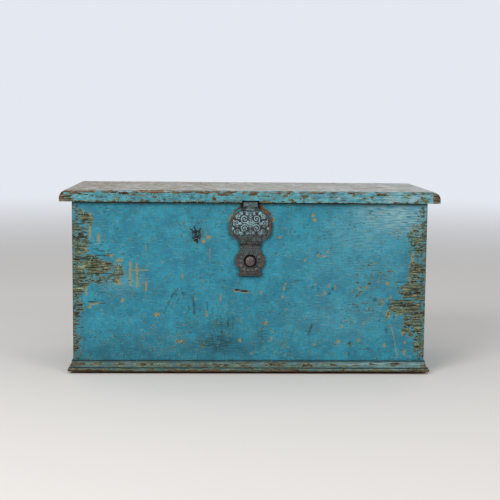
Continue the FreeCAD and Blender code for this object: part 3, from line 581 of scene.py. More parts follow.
def add_piece(name, mesh, body, slot, materials, *nodes):
    """Turn a bmesh into a piece of the coffer that rides on a body and stands for its nodes."""
    data = bpy.data.meshes.new(name)
    mesh.to_mesh(data)
    mesh.free()
    for material in materials:
        data.materials.append(material)
    data.shade_smooth()
    data.set_sharp_from_angle(angle=SMOOTH_UP_TO)
    piece = bpy.data.objects.new(name, data)
    bpy.context.scene.collection.objects.link(piece)
    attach(piece, body)
    if nodes:
        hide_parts(*nodes)
    print(name, len(data.polygons), "faces")
    return piece


# %% [markdown]
# ## Painting and carving by points
#
# The finer the net, the finer what can be stored on it. These helpers read a piece's points, move
# them, and store painted values such as how worn a place is. Noise is the same on every run.

# %% Points and layers


def points_of(piece):
    flat = np.empty(len(piece.data.vertices) * 3)
    piece.data.vertices.foreach_get("co", flat)
    return flat.reshape(-1, 3)


def set_points(piece, points):
    piece.data.vertices.foreach_set("co", points.astype(np.float32).ravel())
    piece.data.update()


def store(piece, **layers):
    """Store one value a point under each name."""
    for name, values in layers.items():
        attribute = piece.data.attributes.new(name, "FLOAT", "POINT")
        attribute.data.foreach_set("value", np.clip(values, 0, 1).astype(np.float32))


# %% Noise and ramps


def drift(points, size, seed=0.0):
    """Smooth noise from about -1 to 1; size is how far it takes to change, one for each axis or all."""
    sizes = np.broadcast_to(np.array(size, float), (3,))
    shift = np.array((seed, seed * 1.7, seed * 0.6))
    return np.array([noise.noise(Vector(p)) for p in points / sizes + shift])


def clamp(value):
    return np.clip(value, 0, 1)


def most(*values):
    """The greatest of some values, point by point."""
    return reduce(np.maximum, values)


def rise(value, start, over):
    """0 up to start, then growing to 1 over a length."""
    return clamp((value - start) / over)


def fall(value, end, over):
    """0 from end on, and shrinking from 1 to it over a length."""
    return clamp((end - value) / over)


def band(value, middle, half):
    """1 at the middle, and 0 from half its width on, on both sides."""
    return clamp(1 - np.abs(value - middle) / half)


# %% Edges of a box


def nearness(points, low, high, reach):
    """For each axis, 1 at the box's faces across that axis, and 0 from reach inwards."""
    gaps = np.minimum(points - np.array(low), np.array(high) - points)
    return clamp(1 - gaps / reach)


def arris(points, low, high, reach):
    """1 at the box's arrises, falling to 0 at reach from them."""
    return np.sort(nearness(points, low, high, reach), axis=1)[:, 1]


def chip_arrises(points, low, high, reach, depth, seed=0.0):
    """Push points near the box's arrises inwards, here and there, as if knocked off."""
    strength = arris(points, low, high, reach) * clamp(drift(points, 9 * MM, seed) * 2.2)
    inwards = np.sign((np.array(low) + np.array(high)) / 2 - points)
    return points + inwards * (nearness(points, low, high, reach) > 0) * (strength * depth)[:, None]


# %% Placed marks


def ellipses(x, z, spots, core=0.7):
    """The strongest of some soft ellipses: (x, z, half width, half height, strength), in mm."""
    value = np.zeros(len(x))
    for spot_x, spot_z, wide, high, strength in spots:
        away = np.hypot((x - spot_x * MM) / (wide * MM), (z - spot_z * MM) / (high * MM))
        value = np.maximum(value, strength * fall(away, 1.3, 1.3 - core))
    return value


def strokes(x, z, lines):
    """The strongest of some soft strokes: (x, z, x, z, width), in mm."""
    value = np.zeros(len(x))
    for from_x, from_z, to_x, to_z, width in lines:
        start = np.array((from_x, from_z)) * MM
        way = np.array((to_x, to_z)) * MM - start
        share = clamp(((x - start[0]) * way[0] + (z - start[1]) * way[1]) / max(way @ way, WELD))
        away = np.hypot(x - start[0] - share * way[0], z - start[1] - share * way[1])
        value = np.maximum(value, clamp(1.4 - away / (width * MM / 2)))
    return value


# %% [markdown]
# ## The front board
#
# The front is what everyone looks at, so its marks are placed one by one, in millimetres from the
# middle and from the floor: bands of wear at both ends, cracks that run in along the grain, ochre
# knocks, a gouge, a dark patch low down and a pale place at the upper right, which is fading with a
# painted sheen. A mark is an ellipse, or a stroke for a scratch or a run; that is enough, because
# the paint's finish breaks its edge up.

# %% Wear on the front: x, z, half width, half height and strength
FRONT_WEAR = [
    (-455, 300, 18, 160, 0.46), (-457, 130, 15, 110, 0.46), (-436, 408, 22, 22, 0.50),
    (-416, 404, 12, 22, 0.42), (-444, 345, 28, 56, 0.54), (-444, 262, 30, 64, 0.58),
    (-402, 279, 50, 22, 0.62), (-352, 264, 32, 34, 0.44), (-392, 250, 40, 16, 0.42),
    (-414, 300, 30, 14, 0.50), (-448, 176, 20, 40, 0.50), (-451, 92, 15, 66, 0.48),
    (456, 240, 15, 200, 0.46), (448, 402, 16, 34, 0.48), (440, 350, 28, 60, 0.50),
    (436, 268, 30, 30, 0.56), (428, 221, 38, 26, 0.60), (408, 178, 50, 22, 0.60),
    (430, 132, 32, 38, 0.58), (446, 80, 18, 44, 0.52), (-138, 362, 12, 20, 0.3),
    (-180, 84, 16, 8, 0.34), (362, 158, 10, 16, 0.4), (372, 190, 14, 14, 0.36),
    (-60, 150, 60, 40, 0.16), (-200, 90, 130, 50, 0.16), (150, 110, 200, 80, 0.14),
    (330, 220, 90, 90, 0.22), (-340, 250, 90, 60, 0.18), (-140, 380, 60, 50, 0.14),
]
print("places of wear on the front:", len(FRONT_WEAR))

# %% Chips on the front: ellipses, and strokes as x, z, x, z and width
FRONT_CHIPS = [
    (-430, 420, 3, 10, 1), (-411, 408, 4, 14, 1), (-413, 373, 4, 22, 0.9), (-391, 354, 4, 16, 1),
    (-359, 308, 5, 5, 1), (-338, 297, 11, 4, 1), (-342, 240, 11, 9, 0.8), (-330, 192, 5, 6, 1),
    (-415, 174, 6, 5, 1), (-241, 155, 10, 7, 0.9), (-175, 257, 3, 9, 1), (-108, 358, 8, 6, 0.9),
    (-121, 347, 6, 6, 1), (162, 416, 5, 6, 1), (167, 404, 5, 6, 1), (177, 312, 5, 4, 1),
    (192, 310, 5, 4, 1), (201, 323, 4, 4, 1), (143, 299, 4, 5, 0.9), (76, 359, 5, 4, 0.9),
    (85, 203, 4, 5, 1), (89, 225, 4, 7, 1), (93, 238, 3, 5, 0.8), (29, 214, 4, 6, 0.8),
    (170, 77, 7, 4, 0.7), (57, 94, 5, 6, 0.7), (241, 125, 5, 5, 0.9), (184, 207, 7, 3, 0.8),
    (196, 214, 4, 7, 0.9), (205, 232, 3, 7, 0.8), (222, 230, 3, 8, 0.8), (170, 236, 4, 4, 0.9),
    (-225, 292, 4, 4, 0.7), (-270, 330, 3, 8, 0.6), (-143, 198, 2, 6, 0.9), (-111, 158, 4, 10, 0.9),
    (-76, 199, 3, 10, 0.9), (43, 134, 4, 8, 1), (-182, 85, 14, 5, 0.8), (-25, 88, 5, 6, 1),
    (6, 53, 6, 3, 0.8), (233, 85, 6, 7, 0.9), (354, 75, 6, 7, 0.9), (403, 108, 6, 6, 1),
    (407, 57, 4, 10, 1), (408, 83, 4, 4, 1), (362, 158, 6, 14, 1), (385, 156, 4, 6, 1),
    (346, 189, 3, 13, 0.9), (368, 202, 2.5, 10, 0.9), (359, 239, 7, 5, 0.9), (286, 226, 5, 5, 0.9),
    (304, 229, 4, 5, 0.9), (298, 133, 3, 6, 0.9), (286, 90, 6, 6, 0.7), (419, 376, 5, 16, 0.8),
    (422, 302, 6, 24, 0.8), (432, 274, 12, 8, 0.8), (418, 244, 5, 9, 0.7), (398, 176, 8, 9, 0.7),
]
FRONT_CHIP_LINES = [
    (-310, 293, -310, 233, 6), (-293, 286, -292, 228, 6), (-269, 241, -269, 218, 5),
    (-308, 271, -264, 271, 3.4), (-341, 302, -338, 236, 5), (-424, 350, -424, 318, 6),
    (-372, 309, -354, 312, 5), (-416, 182, -384, 186, 4), (-425, 238, -423, 206, 6),
    (-103, 330, -103, 293, 2.5), (370, 128, 378, 100, 3.6), (378, 100, 384, 72, 3),
    (385, 68, 389, 42, 3), (-40, 219, -4, 214, 6), (-57, 398, -53, 410, 4), (-53, 410, -45, 421, 4),
    (58, 410, 60, 399, 4),
]
print("chips on the front:", len(FRONT_CHIPS) + len(FRONT_CHIP_LINES))

# %% The gouge, the painted shadow beside the hasp's strap and the dark spots
FRONT_GOUGE = [
    (-155, 379, -144, 371, 2.4), (-145, 385, -141, 374, 2.6), (-129, 380, -133, 370, 2.4),
    (-138, 352, -137, 343, 3.6), (-38, 221, -6, 216, 3.0),
]
GOUGE_PIT = (-139, 363, 12, 17, 1)
# Painted shadow on the wall on both sides of the hasp's strap, below the lid.
STRAP_GRIME = [(-21.5, 449, -21.5, 434, 6), (22, 449, 22, 434, 6)]
RUST_LINES = [
    (-27, 447, -27, 434, 4), (29, 447, 30, 434, 6), (26, 433, 41, 428, 8), (41, 428, 51, 418, 8),
    (51, 418, 58, 403, 5), (-28, 435, -41, 426, 4),
]
# Painted shade and dirt on the wall round the hasp's tongue.
HASP_HALO = [(0, 295, 36, 32, 1), (0, 262, 32, 8, 1), (0, 340, 30, 16, 1)]
# Painted shade and dirt on the wall behind the post, seen in the gap round it in the tongue's hole.
POST_HOLLOW = (0, 297.3, 16, 16, 1)
FRONT_SPOTS = [
    (164, 229, 3.4, 3.4, 0.6), (179, 225, 3.4, 3.4, 0.7), (216, 225, 3.2, 4.6, 0.7),
    (207, 212, 3.4, 4, 0.7), (224, 238, 3, 3.4, 0.5), (183, 316, 3.6, 3, 0.8),
    (108, 244, 2.4, 1.6, 0.4), (122, 244, 3, 1.6, 0.45), (140, 244, 6, 1.8, 0.6), (262, 81, 6, 5, 0.6),
    (261, 52, 2.4, 4, 0.6), (84, 196, 3, 3.4, 0.4), (372, 185, 12, 3.4, 0.6), (344, 197, 3.4, 3, 0.5),
    (327, 197, 5, 4, 0.6), (-170, 250, 5, 1.6, 0.35), (-205, 268, 5, 1.6, 0.35),
    (-246, 330, 6, 1.6, 0.35), (-118, 232, 4, 1.6, 0.3),
]
print("dark spots:", len(FRONT_SPOTS))

# %% Dirt, fading and a painted sheen on the front
FRONT_DIRT = [
    (-84, 80, 58, 34, 1), (-74, 112, 36, 44, 0.6), (-112, 62, 70, 22, 0.5), (-30, 60, 44, 18, 0.6),
    (24, 80, 26, 44, 0.45), (-138, 366, 16, 24, 0.8), (-135, 395, 4, 4, 0.9), (262, 81, 8, 6, 1),
    (261, 51, 3, 6, 0.9), (327, 197, 7, 5, 1), (358, 116, 4, 9, 0.9), (307, 66, 9, 3, 0.9),
    (413, 362, 5, 8, 1), (418, 322, 5, 7, 1), (163, 228, 4, 4, 1), (177, 223, 4, 4, 1),
    (215, 226, 4, 5, 1), (207, 212, 4, 4, 1), (176, 319, 4, 4, 1), (368, 184, 12, 5, 1),
]
FRONT_DIRT_LINES = [
    (-40, 221, -4, 216, 6), (-144, 186, -144, 155, 4), (-74, 136, -73, 108, 6),
    (-112, 190, -110, 160, 3), (-96, 172, -96, 146, 3), (-58, 162, -56, 124, 3.4),
    (-86, 156, -84, 126, 3), (-44, 150, -44, 116, 2.6), (-150, 204, -146, 190, 2.6),
    (-214, 178, -206, 196, 2), (-206, 196, -198, 214, 2), (-196, 208, -184, 226, 1.8),
    (-172, 208, -166, 216, 2), (-190, 186, -184, 200, 1.8), (-192, 222, -222, 160, 2.4),
    (-178, 226, -172, 204, 2.6), (-186, 226, -191, 204, 2), (-147, 198, -146, 158, 4),
    (-160, 192, -158, 164, 2.4), (-128, 188, -129, 164, 2.4), (154, 103, 163, 129, 5),
    (118, 246, 146, 245, 3), (376, 419, 390, 418, 1.6), (392, 428, 402, 427, 1.6),
    (348, 424, 360, 423, 1.6), (404, 414, 416, 413, 1.8), (360, 404, 372, 403, 1.6),
    (420, 424, 432, 423, 2), (384, 396, 396, 396, 1.6), (402, 386, 412, 385, 1.8),
    (-420, 329, -392, 327, 3.4), (-406, 312, -364, 310, 3.6), (-418, 188, -382, 191, 3),
    (-420, 384, -408, 383, 2), (-404, 338, -390, 337, 2.4), (-396, 322, -376, 321, 2.4),
    (-398, 214, -376, 213, 2),
]
# The first place, at the upper right, is fading with a painted sheen; the others are fading.
FRONT_FADE = [
    (384, 418, 128, 62, 0.95), (300, 370, 120, 84, 0.32), (-330, 240, 60, 40, 0.2),
    (280, 300, 180, 90, 0.14), (240, 150, 180, 70, 0.14),
]
print("dirty places:", len(FRONT_DIRT) + len(FRONT_DIRT_LINES))

# %% [markdown]
# ### Cracks
#
# A crack could be a dark line in the finish, but seen from the side it would look drawn on, so it
# is a real groove. Each one needs three close rows of points: its bottom and its two lips.
# The rows only run through the worn end of the board that has the crack.

# %% Cracks: height, from, to and depth in mm
FRONT_CRACKS = [
    (424, -457, -430, 1.2), (411, -428, -402, 1.6), (400, -446, -404, 1.6), (391, -456, -420, 1.2),
    (376, -456, -410, 2.0), (367, -440, -412, 1.4), (355, -457, -424, 1.4), (341, -430, -393, 1.8),
    (332, -456, -420, 1.4), (322, -450, -424, 1.2), (308, -404, -360, 1.8), (299, -456, -410, 1.6),
    (288, -420, -350, 1.8), (277, -430, -374, 2.0), (262, -440, -356, 1.4), (247, -456, -424, 1.6),
    (240, -372, -340, 1.4), (229, -450, -408, 1.4), (214, -456, -428, 1.2), (184, -416, -372, 1.8),
    (166, -456, -438, 1.0), (148, -452, -430, 1.0), (120, -447, -428, 0.8), (95, -447, -430, 0.8),
    (70, -447, -428, 0.8), (402, 430, 452, 1.6), (399, 386, 410, 1.0), (365, 424, 456, 1.2),
    (350, 428, 456, 1.4), (326, 420, 452, 1.4), (309, 420, 452, 1.4), (282, 424, 456, 1.2),
    (268, 416, 452, 1.4), (255, 420, 456, 1.2), (243, 378, 452, 2.0), (226, 408, 456, 1.4),
    (212, 416, 452, 1.4), (194, 374, 456, 2.0), (181, 376, 440, 2.0), (170, 402, 456, 1.6),
    (158, 398, 456, 2.0), (144, 404, 450, 1.6), (128, 416, 456, 1.4), (112, 420, 452, 1.2),
    (90, 430, 455, 1.0), (64, 436, 456, 0.8),
]
CRACK_HALF = 1.25 * MM
CRACK_TAPER = 6 * MM


def crack_rows(side):
    """The heights of three rows for each crack on one side of the board."""
    heights = [height * MM for height, start, _, _ in FRONT_CRACKS if (start > 0) == (side > 0)]
    return sorted({height + shift for height in heights for shift in (-CRACK_HALF, 0.0, CRACK_HALF)})


def crack_depth(x, z):
    """How deep the board is split at each point, from 0 to 1 and in metres."""
    shade = np.zeros(len(x))
    depth = np.zeros(len(x))
    for height, start, end, deep in FRONT_CRACKS:
        taper = clamp(np.minimum(x - start * MM, end * MM - x) / CRACK_TAPER)
        split = taper * band(z, height * MM, CRACK_HALF)
        shade = np.maximum(shade, split)
        depth = np.maximum(depth, split * deep * MM)
    return shade, depth


print("cracks:", len(FRONT_CRACKS))

# %% [markdown]
# ### The walls' wear
#
# Wear runs round a corner, so the ends and the back take up the front's worn patches at the corners
# and carry them on. Each wall is unrolled: a point on an end is given the place on the front that
# lies as far from the nearest corner, a little higher up the further it is, so that no patch is the
# mirror of its neighbour. Away from the corners these walls have their own scattered marks.

# %% Unroll the walls
WALL_EASE = 1.6 * MM
FACE_SKIN = 2.0 * MM
SLANT = 0.4
CARRIED = 150 * MM
CARRIED_FADE = 50 * MM


def read_wall(points):
    """A wall's points, the front's place that each takes its marks from, its side, and shared noise."""
    x, y, z = points.T
    on_front = y < wall_low.y + FACE_SKIN
    on_back = y > wall_high.y - FACE_SKIN
    on_end = (np.abs(x) > wall_high.x - FACE_SKIN) & ~on_front & ~on_back
    to_corner = np.minimum(y - wall_low.y, wall_high.y - y)
    around = np.sign(x) * (wall_high.x - to_corner)
    turned = np.where(y > (wall_low.y + wall_high.y) / 2, -around, around)
    from_corner = np.where(on_end, to_corner, wall_high.x - np.abs(x))
    return SimpleNamespace(
        points=points,
        height=z,
        x=np.where(on_front, x, np.where(on_back, -x, turned)),
        z=z + SLANT * to_corner * on_end,
        held=np.where(on_front, 1, fall(from_corner, CARRIED, CARRIED_FADE)),
        on_front=on_front,
        on_back=on_back,
        on_end=on_end,
        elsewhere=on_back | on_end,
        outside=on_front | on_back | on_end,
        rough=drift(points, 14 * MM),
        broad=drift(points, 55 * MM, 17.0),
    )


# %% How worn and how chipped a wall is
CORNER_REACH = 9 * MM


def wall_wear(wall, rusty):
    """Placed patches with ragged edges, rubbed corners, and a little everywhere else."""
    corner = arris(wall.points, wall_low, wall_high, CORNER_REACH)
    placed = ellipses(wall.x, wall.z, FRONT_WEAR) * wall.held * 1.1
    worn = most(placed, 0.1 + 0.14 * wall.broad * wall.elsewhere) + 0.06 * wall.rough
    ragged = drift(wall.points, (16 * MM, 7 * MM, 7 * MM), 19.0)
    worn = worn + 0.3 * ragged * clamp(worn * 3 - 0.3) * wall.on_front
    return most(worn, 0.46 * corner + 0.2 * wall.rough * corner, 0.85 * rusty)


def wall_chips(wall):
    """The placed knocks, carried round the corners, and scattered ones elsewhere."""
    lines = strokes(wall.x, wall.z, FRONT_CHIP_LINES)
    placed = most(ellipses(wall.x, wall.z, FRONT_CHIPS, core=0.45), lines)
    scattered = clamp(3 * drift(wall.points, 10 * MM, 18.0) - 1.3) * clamp(wall.broad + 0.5)
    return most(placed * wall.held, scattered * wall.elsewhere)


# %% How dirty a wall is
DISC_RADIUS = 55 * MM
DISC_DROP = 45.2 * MM
DISC_FOOT = 352 * MM
hasp_axis = joints["hasp_hinge"]
disc_middle = Vector((hasp_axis.x, hasp_axis.y, hasp_axis.z - DISC_DROP))
print("disc's middle", tuple(round(c, 4) for c in disc_middle))


def around_hasp(wall):
    """Dirt and painted shade on the wall close round the hasp: a ring about the disc and a halo about the
    tongue.
    """
    past_rim = np.hypot(wall.x, wall.z - disc_middle.z) - DISC_RADIUS
    ring = clamp(1.3 - np.abs(past_rim - 2 * MM) / (5 * MM)) * (wall.z > DISC_FOOT)
    return most(ring * 0.7, ellipses(wall.x, wall.z, HASP_HALO, core=1.0) * 0.75)


def wall_dirt(wall):
    """Placed dirt with painted shade round the hasp, a painted shadow under the lid, darker just over the
    moulding, and dirt rising from the foot.
    """
    placed = most(
        ellipses(wall.x, wall.z, FRONT_DIRT, core=0.4),
        strokes(wall.x, wall.z, FRONT_DIRT_LINES),
        around_hasp(wall),
    )
    return most(
        placed * wall.on_front,
        wall.elsewhere * (0.15 - 0.3 * wall.broad),
        # A painted shadow under the lid's overhang.
        0.6 * rise(wall.height, wall_high.z - 8 * MM, 4 * MM),
        # Darker just over the moulding.
        0.7 * fall(wall.height, skirt_high.z + 4 * MM, 4 * MM),
        fall(wall.height, 110 * MM, 50 * MM) * np.clip(0.2 - wall.x / (900 * MM), 0, 0.5),
    )


# %% How dark a wall is


def wall_shade(wall, cracks, gouge):
    """Where no light comes: broken-up cracks, the corners, painted shadow beside the strap, painted shade and
    dirt round the post, dark spots, scratches and the lid's joint.
    """
    cracks = cracks * clamp(0.8 + 1.6 * drift(wall.points, (11 * MM, 5 * MM, 5 * MM), 8.0))
    at_corner = rise(np.abs(wall.points[:, X]), wall_high.x - 2 * MM, 1.5 * MM)
    placed = most(
        at_corner * clamp(0.3 + 0.2 * wall.rough),
        ellipses(wall.x, wall.z, [POST_HOLLOW], core=1.0),
        ellipses(wall.x, wall.z, FRONT_SPOTS, core=0.5) * 0.5,
        strokes(wall.x, wall.z, FRONT_DIRT_LINES) * (0.22 + 0.2 * wall.rough),
        strokes(wall.x, wall.z, STRAP_GRIME),
        gouge,
    )
    return most(cracks * wall.held, placed * wall.on_front, rise(wall.height, wall_high.z - 3 * MM, 2 * MM))


# %% How deep a wall is carved
ROUGH_DEPTH = 0.2 * MM
WORN_DEPTH = 0.56 * MM
WANDER = 0.5 * MM


def wander(x):
    """A slow up and down along the board, so that no crack runs ruler-straight."""
    return WANDER * np.sin(x / (19 * MM)) * np.cos(x / (7.3 * MM))


def carved_wall(wall, worn, dug):
    """The points sunk where the wall is worn or dug out; dug is in metres and holds on the front."""
    uneven = 0.5 + 0.5 * drift(wall.points, 6 * MM, 2.0)
    sink = np.maximum(ROUGH_DEPTH * wall.rough + clamp(worn) * uneven * WORN_DEPTH, 0) + dug * wall.on_front
    carved = wall.points.copy()
    carved[:, Y] += sink * (wall.on_front.astype(float) - wall.on_back)
    carved[:, X] -= sink * wall.on_end * np.sign(carved[:, X])
    return carved


# %% Wear a wall
GOUGE_DEPTH = 1.6 * MM


def wear_wall(piece):
    """Sink, crack and mark a wall's outer side, and store the marks as layers."""
    points = points_of(piece)
    wall = read_wall(points)
    rusty = strokes(wall.x, wall.z, RUST_LINES) * wall.on_front
    cracks, depth = crack_depth(wall.x, wall.z)
    crumbled = clamp(0.55 + 3.4 * drift(points, 3.2 * MM, 5.0))
    pit = ellipses(wall.x, wall.z, [GOUGE_PIT], core=0.6) * crumbled
    gouge = most(strokes(wall.x, wall.z, FRONT_GOUGE), pit) * wall.on_front
    worn = wall_wear(wall, rusty)
    # Fading, with a painted sheen at the upper right.
    bleached = ellipses(wall.x, wall.z, FRONT_FADE, core=0.0) * wall.held
    store(
        piece,
        worn=worn * wall.outside,
        cracked=wall_shade(wall, cracks, gouge) * wall.outside,
        chipped=wall_chips(wall) * wall.outside,
        stained=wall_dirt(wall) * wall.outside,
        faded=most(bleached, wall.elsewhere * 0.3 * (wall.broad + 0.3)),
        warm=most(0.3 * drift(points, 40 * MM, 3.0), rusty),
    )
    carved = carved_wall(wall, worn, depth + gouge * GOUGE_DEPTH)
    away_from_corner = np.abs(points[:, X]) < wall_high.x - 1.5 * MM
    carved[:, Z] += wall.on_front * away_from_corner * (depth > 0) * wander(wall.x)
    set_points(piece, carved)


# %% Ease a wall


def outer_corner(edge):
    """Whether an edge runs up a corner of the walls."""
    middle = (edge.verts[0].co + edge.verts[1].co) / 2
    at_side = wall_high.x - abs(middle.x) < WELD * 10
    at_face = min(middle.y - wall_low.y, wall_high.y - middle.y) < WELD * 10
    return at_side and at_face and abs(edge.verts[0].co.z - edge.verts[1].co.z) > WELD


def ease_wall(mesh):
    """Walls are rounded more at the coffer's corners than where two fingers meet."""
    ease_edges(mesh, WALL_EASE, chosen=outer_corner)
    ease_edges(mesh, FINE_EASE, least=60, segments=1)


# %% Cut, wear and paint the front board
FRONT_CELL = 3.2 * MM
FINE_CELL = 1.1 * MM
END_ZONE = wall_high.x - 130 * MM
GOUGE_BOX = (Vector((-0.160, -1, 0.336)), Vector((-0.118, 1, 0.400)))


def in_gouge(face):
    place = face.calc_center_median()
    return all(GOUGE_BOX[0][i] < place[i] < GOUGE_BOX[1][i] for i in range(3))


def make_front():
    mesh = merged_copy("front_board")
    ease_wall(mesh)
    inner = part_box("front_board")[1].y
    cut_at(mesh, X, [-END_ZONE, END_ZONE], away_from(mesh, Y, inner))
    regular = steps(wall_low.z, wall_high.z, FRONT_CELL)
    for side in (-1, 1):
        rows = crack_rows(side)
        spaced = [z for z in regular if min(abs(z - row) for row in rows) > CRACK_HALF]
        zone = [f for f in away_from(mesh, Y, inner) if f.calc_center_median().x * side > END_ZONE]
        cut_at(mesh, Z, sorted(rows + spaced), zone)
    centre = [f for f in away_from(mesh, Y, inner) if abs(f.calc_center_median().x) < END_ZONE]
    cut_at(mesh, Z, regular, centre)
    cut_evenly(mesh, (wall_low, wall_high), X, FRONT_CELL, away_from(mesh, Y, inner))
    for axis in (X, Z):
        cut_evenly(mesh, GOUGE_BOX, axis, FINE_CELL, [f for f in away_from(mesh, Y, inner) if in_gouge(f)])
    for face in mesh.faces:
        face.material_index = int(face.normal.y > 0.9 or face.normal.z > 0.9)
    materials = [painted_long, bare_long]
    wear_wall(add_piece("front_panel", mesh, "carcass", "painted_wood", materials, "front_board"))


make_front()

# %% [markdown]
# ## The end and back boards
#
# The ends run across the fingers of the front, so their end grain shows in the front's two columns
# of joints. On the real chest the paint ran over the joints and hid them, and it does here: the
# fingers' faces take the front's finish.

# %% End and back boards
SIDE_CELL = 4.2 * MM
BACK_CELL = 5.5 * MM
PAINTED_LONG, PAINTED_SHORT, BARE_LONG, BARE_SHORT = range(4)
wall_finishes = [painted_long, painted_short, bare_long, bare_short]


def make_end(name, node, side):
    mesh = merged_copy(node)
    ease_wall(mesh)
    low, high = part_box(node)
    fingers = [f for f in mesh.faces if f.normal.y < -0.5 and f.calc_center_median().y < low.y + FACE_SKIN]
    cut_at(mesh, Z, [row for row in crack_rows(side) if row < high.z], fingers)
    inner = low.x if side > 0 else high.x
    for axis in (Z, Y):
        cut_evenly(mesh, (low, high), axis, SIDE_CELL, away_from(mesh, X, inner))
    for face in mesh.faces:
        inwards = face.normal.x * side < -0.5 or face.normal.z > 0.9
        at_ends = abs(face.normal.y) > 0.9
        face.material_index = PAINTED_LONG if at_ends else BARE_SHORT if inwards else PAINTED_SHORT
    wear_wall(add_piece(name, mesh, "carcass", "painted_wood", wall_finishes, node))


def make_back(name, node):
    mesh = merged_copy(node)
    ease_wall(mesh)
    low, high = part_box(node)
    for axis in (Z, X):
        cut_evenly(mesh, (low, high), axis, BACK_CELL, away_from(mesh, Y, low.y))
    for face in mesh.faces:
        inwards = face.normal.y < -0.9 or face.normal.z > 0.9
        face.material_index = BARE_LONG if inwards else PAINTED_LONG
    wear_wall(add_piece(name, mesh, "carcass", "painted_wood", wall_finishes, node))


make_end("left_panel", "left_end_board", -1)
make_end("right_panel", "right_end_board", 1)
make_back("back_panel_lower", "back_board_lower")
make_back("back_panel_upper", "back_board_upper")

# %% [markdown]
# ## The lid
#
# The lid takes the knocks. Its top has gone pale and grey with brown streaks, and its pale tones
# also hold a painted sheen; the front edge is chipped back to orange-brown wood all along the upper
# arris and in patches below it. The top and the rim have finishes of their own, because sun and
# hands bleach the one and dirt keeps the other dark.

# %% Lid marks: x, z, half width, half height and strength; the first chips show primer
LID_CHIPS = [
    (-94, 459, 7, 5, 0.8), (-72, 469, 18, 3, 1), (4, 470, 12, 3, 0.9), (88, 466, 7, 4, 0.8),
    (139, 466, 9, 4, 0.9), (-194, 452, 4, 3, 1), (-455, 470, 24, 3, 0.6), (-468, 463, 30, 15, 0.44),
    (-484, 462, 8, 14, 0.7), (-330, 472, 30, 3, 0.5), (-250, 462, 12, 3, 0.6), (291, 461, 9, 6, 0.5),
    (313, 464, 4, 6, 0.6), (336, 471, 14, 3, 0.7), (444, 462, 8, 5, 0.6), (480, 463, 10, 16, 0.8),
]
PRIMER_CHIPS = 6
LID_PALE = [(362, 453, 40, 4, 1), (300, 474, 60, 4, 0.6), (400, 461, 80, 12, 0.85)]
LID_DIRT = [
    (-221, 455, 5, 4, 1), (-60, 453, 60, 3, 0.6), (-380, 462, 12, 3, 0.7), (-300, 458, 8, 3, 0.7),
    (-150, 461, 8, 3, 0.7), (60, 458, 8, 3, 0.6), (240, 461, 10, 3, 0.7), (320, 457, 7, 3, 0.7),
    (400, 463, 12, 3, 0.8), (450, 457, 8, 4, 0.8),
]
print("marks on the lid's edge:", len(LID_CHIPS) + len(LID_PALE) + len(LID_DIRT))

# %% Lid finishes: paint tones and wood tones, the top's pale ones partly a painted sheen
# The top's tones are pale partly from weathering and partly as a painted sheen.
LID_TONES = (srgb(166, 174, 176), srgb(202, 204, 202), srgb(174, 162, 148), srgb(216, 220, 220))
LID_WOODS = (srgb(168, 154, 138), srgb(132, 114, 98), srgb(206, 196, 182), srgb(172, 132, 102))
RIM_TONES = (srgb(38, 120, 140), srgb(80, 158, 170), srgb(48, 84, 80), srgb(150, 198, 200))
RIM_WOODS = (srgb(112, 104, 76), srgb(40, 30, 22), srgb(160, 140, 104), srgb(100, 62, 36))
lid_long = make_painted_wood("weathered lid", LONG_GRAIN, LONG_BRUSH, LID_TONES, LID_WOODS, 0.08)
lid_face_long = make_painted_wood("lid edge paint", LONG_GRAIN, UP_BRUSH, RIM_TONES, RIM_WOODS, 0.22)
print("finishes", lid_long.name, "and", lid_face_long.name)

# %% Where a lid's points lie
EDGE_REACH = 6 * MM


def read_lid(points):
    """A lid's points with their side, their place along the lid, and how near the upper arris they are."""
    x, y, z = points.T
    on_top = z > lid_high.z - FACE_SKIN
    on_front = (y < lid_low.y + FACE_SKIN * 2) & ~on_top
    to_right = x / lid_high.x
    rough = drift(points, 12 * MM, 1.0)
    to_arris = np.hypot(y - lid_low.y, z - lid_high.z)
    reach = np.where(on_top, 1.6 * MM, 10 * MM)
    width = np.where(on_top, 3.4, 7.4 - 1.6 * to_right) * MM
    return SimpleNamespace(
        x=x,
        z=z,
        on_top=on_top,
        on_front=on_front,
        to_right=to_right,
        rough=rough,
        streaks=drift(points, (90 * MM, 9 * MM, 9 * MM), 2.0),
        edge=arris(points, lid_low, lid_high, EDGE_REACH),
        upper=fall(to_arris, reach, reach * 0.5) * clamp(0.85 + rough),
        line=fall(to_arris, width, width * 0.5),
        lower=fall(z, lid_low.z + 5 * MM, 3 * MM) * on_front,
    )


# %% How worn a lid is


def lid_wear(lid):
    """Streaks on the top, and the paint knocked off along the edges, more to the left."""
    return most(
        0.26 + 0.16 * lid.rough - 0.06 * lid.to_right,
        lid.on_top * (0.36 + 0.28 * lid.streaks + 0.1 * lid.rough - 0.1 * lid.to_right),
        lid.upper * (0.60 - 0.12 * lid.to_right),
        lid.line * (0.74 + 0.7 * lid.rough),
        lid.lower * (0.48 + 0.3 * lid.rough - 0.1 * lid.to_right),
        lid.edge * (0.46 + 0.3 * lid.rough),
        lid.on_front * ellipses(lid.x, lid.z, LID_CHIPS),
    )


# %% Wear a lid board
CHIP_DEPTH = 1.6 * MM
STREAK_DEPTH = 0.5 * MM


